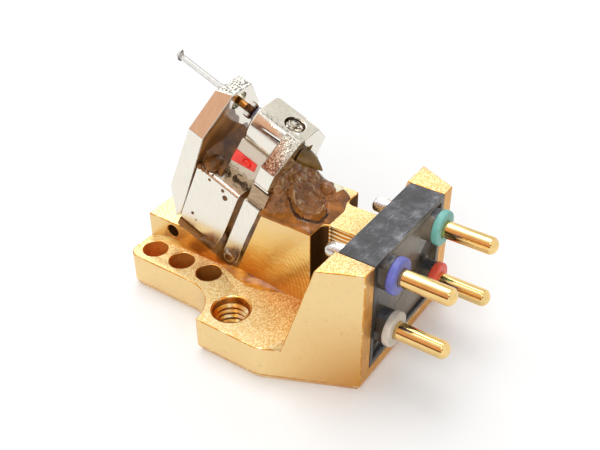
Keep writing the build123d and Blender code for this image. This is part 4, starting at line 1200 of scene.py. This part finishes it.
def seen(tree):
    """1 for rays from the camera and for rays that metal or glass sends on, 0 for soft light."""
    kinds = ("Camera", "Glossy", "Transmission")
    camera, glossy, clear = [add(tree, "LightPath", out=f"Is {kind} Ray") for kind in kinds]
    straight = add(tree, "Math", {0: camera, 1: glossy}, operation="MAXIMUM")
    return add(tree, "Math", {0: straight, 1: clear}, operation="MAXIMUM")


def backdrop(name, bm, finish):
    """Makes a part of the stage, which isn't part of the object."""
    mesh = bpy.data.meshes.new(name)
    bm.to_mesh(mesh)
    bm.free()
    mesh.materials.append(finish)
    made = bpy.data.objects.new(name, mesh)
    bpy.context.scene.collection.objects.link(made)
    return made


class CARTRIDGE_OT_stage(Operator):
    """Set the floor, the lamps, the world and the camera"""

    bl_idname = "cartridge.stage"
    bl_label = "Stage"

    def execute(self, context):
        looks = context.scene.cartridge_finishes
        scene = context.scene
        scene.view_settings.view_transform = "Standard"

        # Floor: white paper, lifted for the camera and for reflections alone so that it still takes a shadow
        bm = bmesh.new()
        bmesh.ops.create_grid(bm, x_segments=8, y_segments=8, size=1.5)
        paper, tree, shader, place = material("white_paper", linear("F0F0F0"), 0.0, 0.9, Emission_Color=WHITE)
        lift = add(tree, "Math", {0: seen(tree), 1: 0.1}, operation="MULTIPLY")
        # Far from the part, where no shadow falls, it runs into the white of the background
        away = add(tree, "VectorMath", {0: place}, operation="LENGTH")
        fade = add(tree, "MapRange", {"Value": away, "From Min": 0.05, "From Max": 0.3})
        far = add(tree, "Math", {0: fade, 1: add(tree, "LightPath", out="Is Camera Ray")}, operation="MULTIPLY")
        feed(tree, shader, {"Emission Strength": add(tree, "Math", {0: lift, 1: far}, operation="ADD")})
        backdrop("floor", bm, paper)

        # World: plain soft light, and white to the camera and in reflections
        world = bpy.data.worlds.new("studio")
        world.use_nodes = True
        scene.world = world
        tree = world.node_tree
        level = add(tree, "MapRange", {"Value": seen(tree), "To Min": 0.36, "To Max": 1.0})
        feed(tree, tree.nodes["Background"], {"Color": WHITE, "Strength": level})

        # Cards that only reflections see: a warm one at the left that is dark at its foot, a grey one at the right,
        # and a dark one where the photographer stands
        warm, grey = looks.card, "E6E3DD"
        for name, turn, reach, low, high, stops in (
                ("warm_card", 172, 30, 0.004, 0.44, [(0.0, "5A2C14"), (0.1, "7E4A30"), (0.34, warm), (0.9, warm),
                                                     (1.0, "FFFFFF")]),
                ("grey_card", 0, 20, 0.14, 0.6, [(0.0, "FFFFFF"), (0.12, grey), (0.88, grey), (1.0, "FFFFFF")]),
                ("dark_card", 214, 9, 0.16, 0.28, [(0.0, "3A2A20"), (1.0, "3A2A20")])):
            bm = bmesh.new()
            rows, columns, far = 12, 12, 0.3
            grid = []
            for i in range(columns + 1):
                angle = math.radians(turn - reach + 2 * reach * i / columns)
                x, y = far * math.cos(angle), far * math.sin(angle)
                grid.append([bm.verts.new((x, y, low + (high - low) * j / rows)) for j in range(rows + 1)])
            for left, right in zip(grid, grid[1:]):
                for j in range(rows):
                    bm.faces.new((left[j], right[j], right[j + 1], left[j + 1]))
            skin, tree, shader, place = material(name + "_paper", linear("000000"), 0.0, 1.0, Emission_Strength=1.0)
            level = gradient(tree, place, "Z", low / MM, high / MM)
            feed(tree, shader, {"Emission Color": add(tree, "ValToRGB", {"Fac": level}, stops=stops)})
            card = backdrop(name, bm, skin)
            card.visible_camera = card.visible_diffuse = card.visible_shadow = card.visible_transmission = False

        for name, place, size, power, glossy in LAMPS:
            lamp = bpy.data.lights.new(name, "AREA")
            lamp.shape = "DISK"
            lamp.size = size
            lamp.energy = power
            held = bpy.data.objects.new(name, lamp)
            held.location = place
            held.rotation_euler = (LAMP_AIM - Vector(place)).to_track_quat("-Z", "Y").to_euler()
            held.visible_glossy = glossy
            scene.collection.objects.link(held)

        # Camera where the photograph was taken from
        camera = bpy.data.cameras.new("camera")
        camera.sensor_fit = "HORIZONTAL"
        camera.sensor_width = 36.0
        camera.lens = CAMERA_LENS
        camera.clip_start = 0.002
        camera.clip_end = 10.0
        held = bpy.data.objects.new("camera", camera)
        turn = Matrix.Translation(Vector(CAMERA_PLACE) * MM)
        for angle, axis in ((CAMERA_TURN, "Z"), (90 - CAMERA_TILT, "X"), (CAMERA_ROLL, "Z")):
            turn = turn @ Matrix.Rotation(math.radians(angle), 4, axis)
        held.matrix_world = turn
        scene.collection.objects.link(held)
        scene.camera = held
        return {"FINISHED"}


class CARTRIDGE_PT_panel(Panel):
    """Lists the steps and the sizes and colours they use"""

    bl_label = "Cartridge"
    bl_idname = "CARTRIDGE_PT_panel"
    bl_space_type = "VIEW_3D"
    bl_region_type = "UI"
    bl_category = "Cartridge"

    def draw(self, context):
        for step in STEPS:
            self.layout.operator(step.bl_idname)
        for group in (context.scene.cartridge_sizes, context.scene.cartridge_finishes):
            for key in group.bl_rna.properties.keys():
                if key not in ("rna_type", "name"):
                    self.layout.prop(group, key)


STEPS = (
    CARTRIDGE_OT_body,
    CARTRIDGE_OT_terminal_block,
    CARTRIDGE_OT_terminals,
    CARTRIDGE_OT_yokes,
    CARTRIDGE_OT_magnet,
    CARTRIDGE_OT_clamp,
    CARTRIDGE_OT_armature,
    CARTRIDGE_OT_cantilever,
    CARTRIDGE_OT_potting,
    CARTRIDGE_OT_adhesive,
    CARTRIDGE_OT_stage,
)
CLASSES = (CARTRIDGE_PG_sizes, CARTRIDGE_PG_finishes, *STEPS, CARTRIDGE_PT_panel)


def register():
    """Registers the classes and hangs the settings on the scene."""
    for item in CLASSES:
        bpy.utils.register_class(item)
    bpy.types.Scene.cartridge_sizes = PointerProperty(type=CARTRIDGE_PG_sizes)
    bpy.types.Scene.cartridge_finishes = PointerProperty(type=CARTRIDGE_PG_finishes)


def unregister():
    """Takes the settings and the classes away again."""
    del bpy.types.Scene.cartridge_sizes
    del bpy.types.Scene.cartridge_finishes
    for item in reversed(CLASSES):
        bpy.utils.unregister_class(item)


def main():
    """Runs every step in order."""
    register()
    for step in STEPS:
        group, name = step.bl_idname.split(".")
        getattr(getattr(bpy.ops, group), name)()
    bpy.context.view_layer.update()


if __name__ == "__main__":
    main()
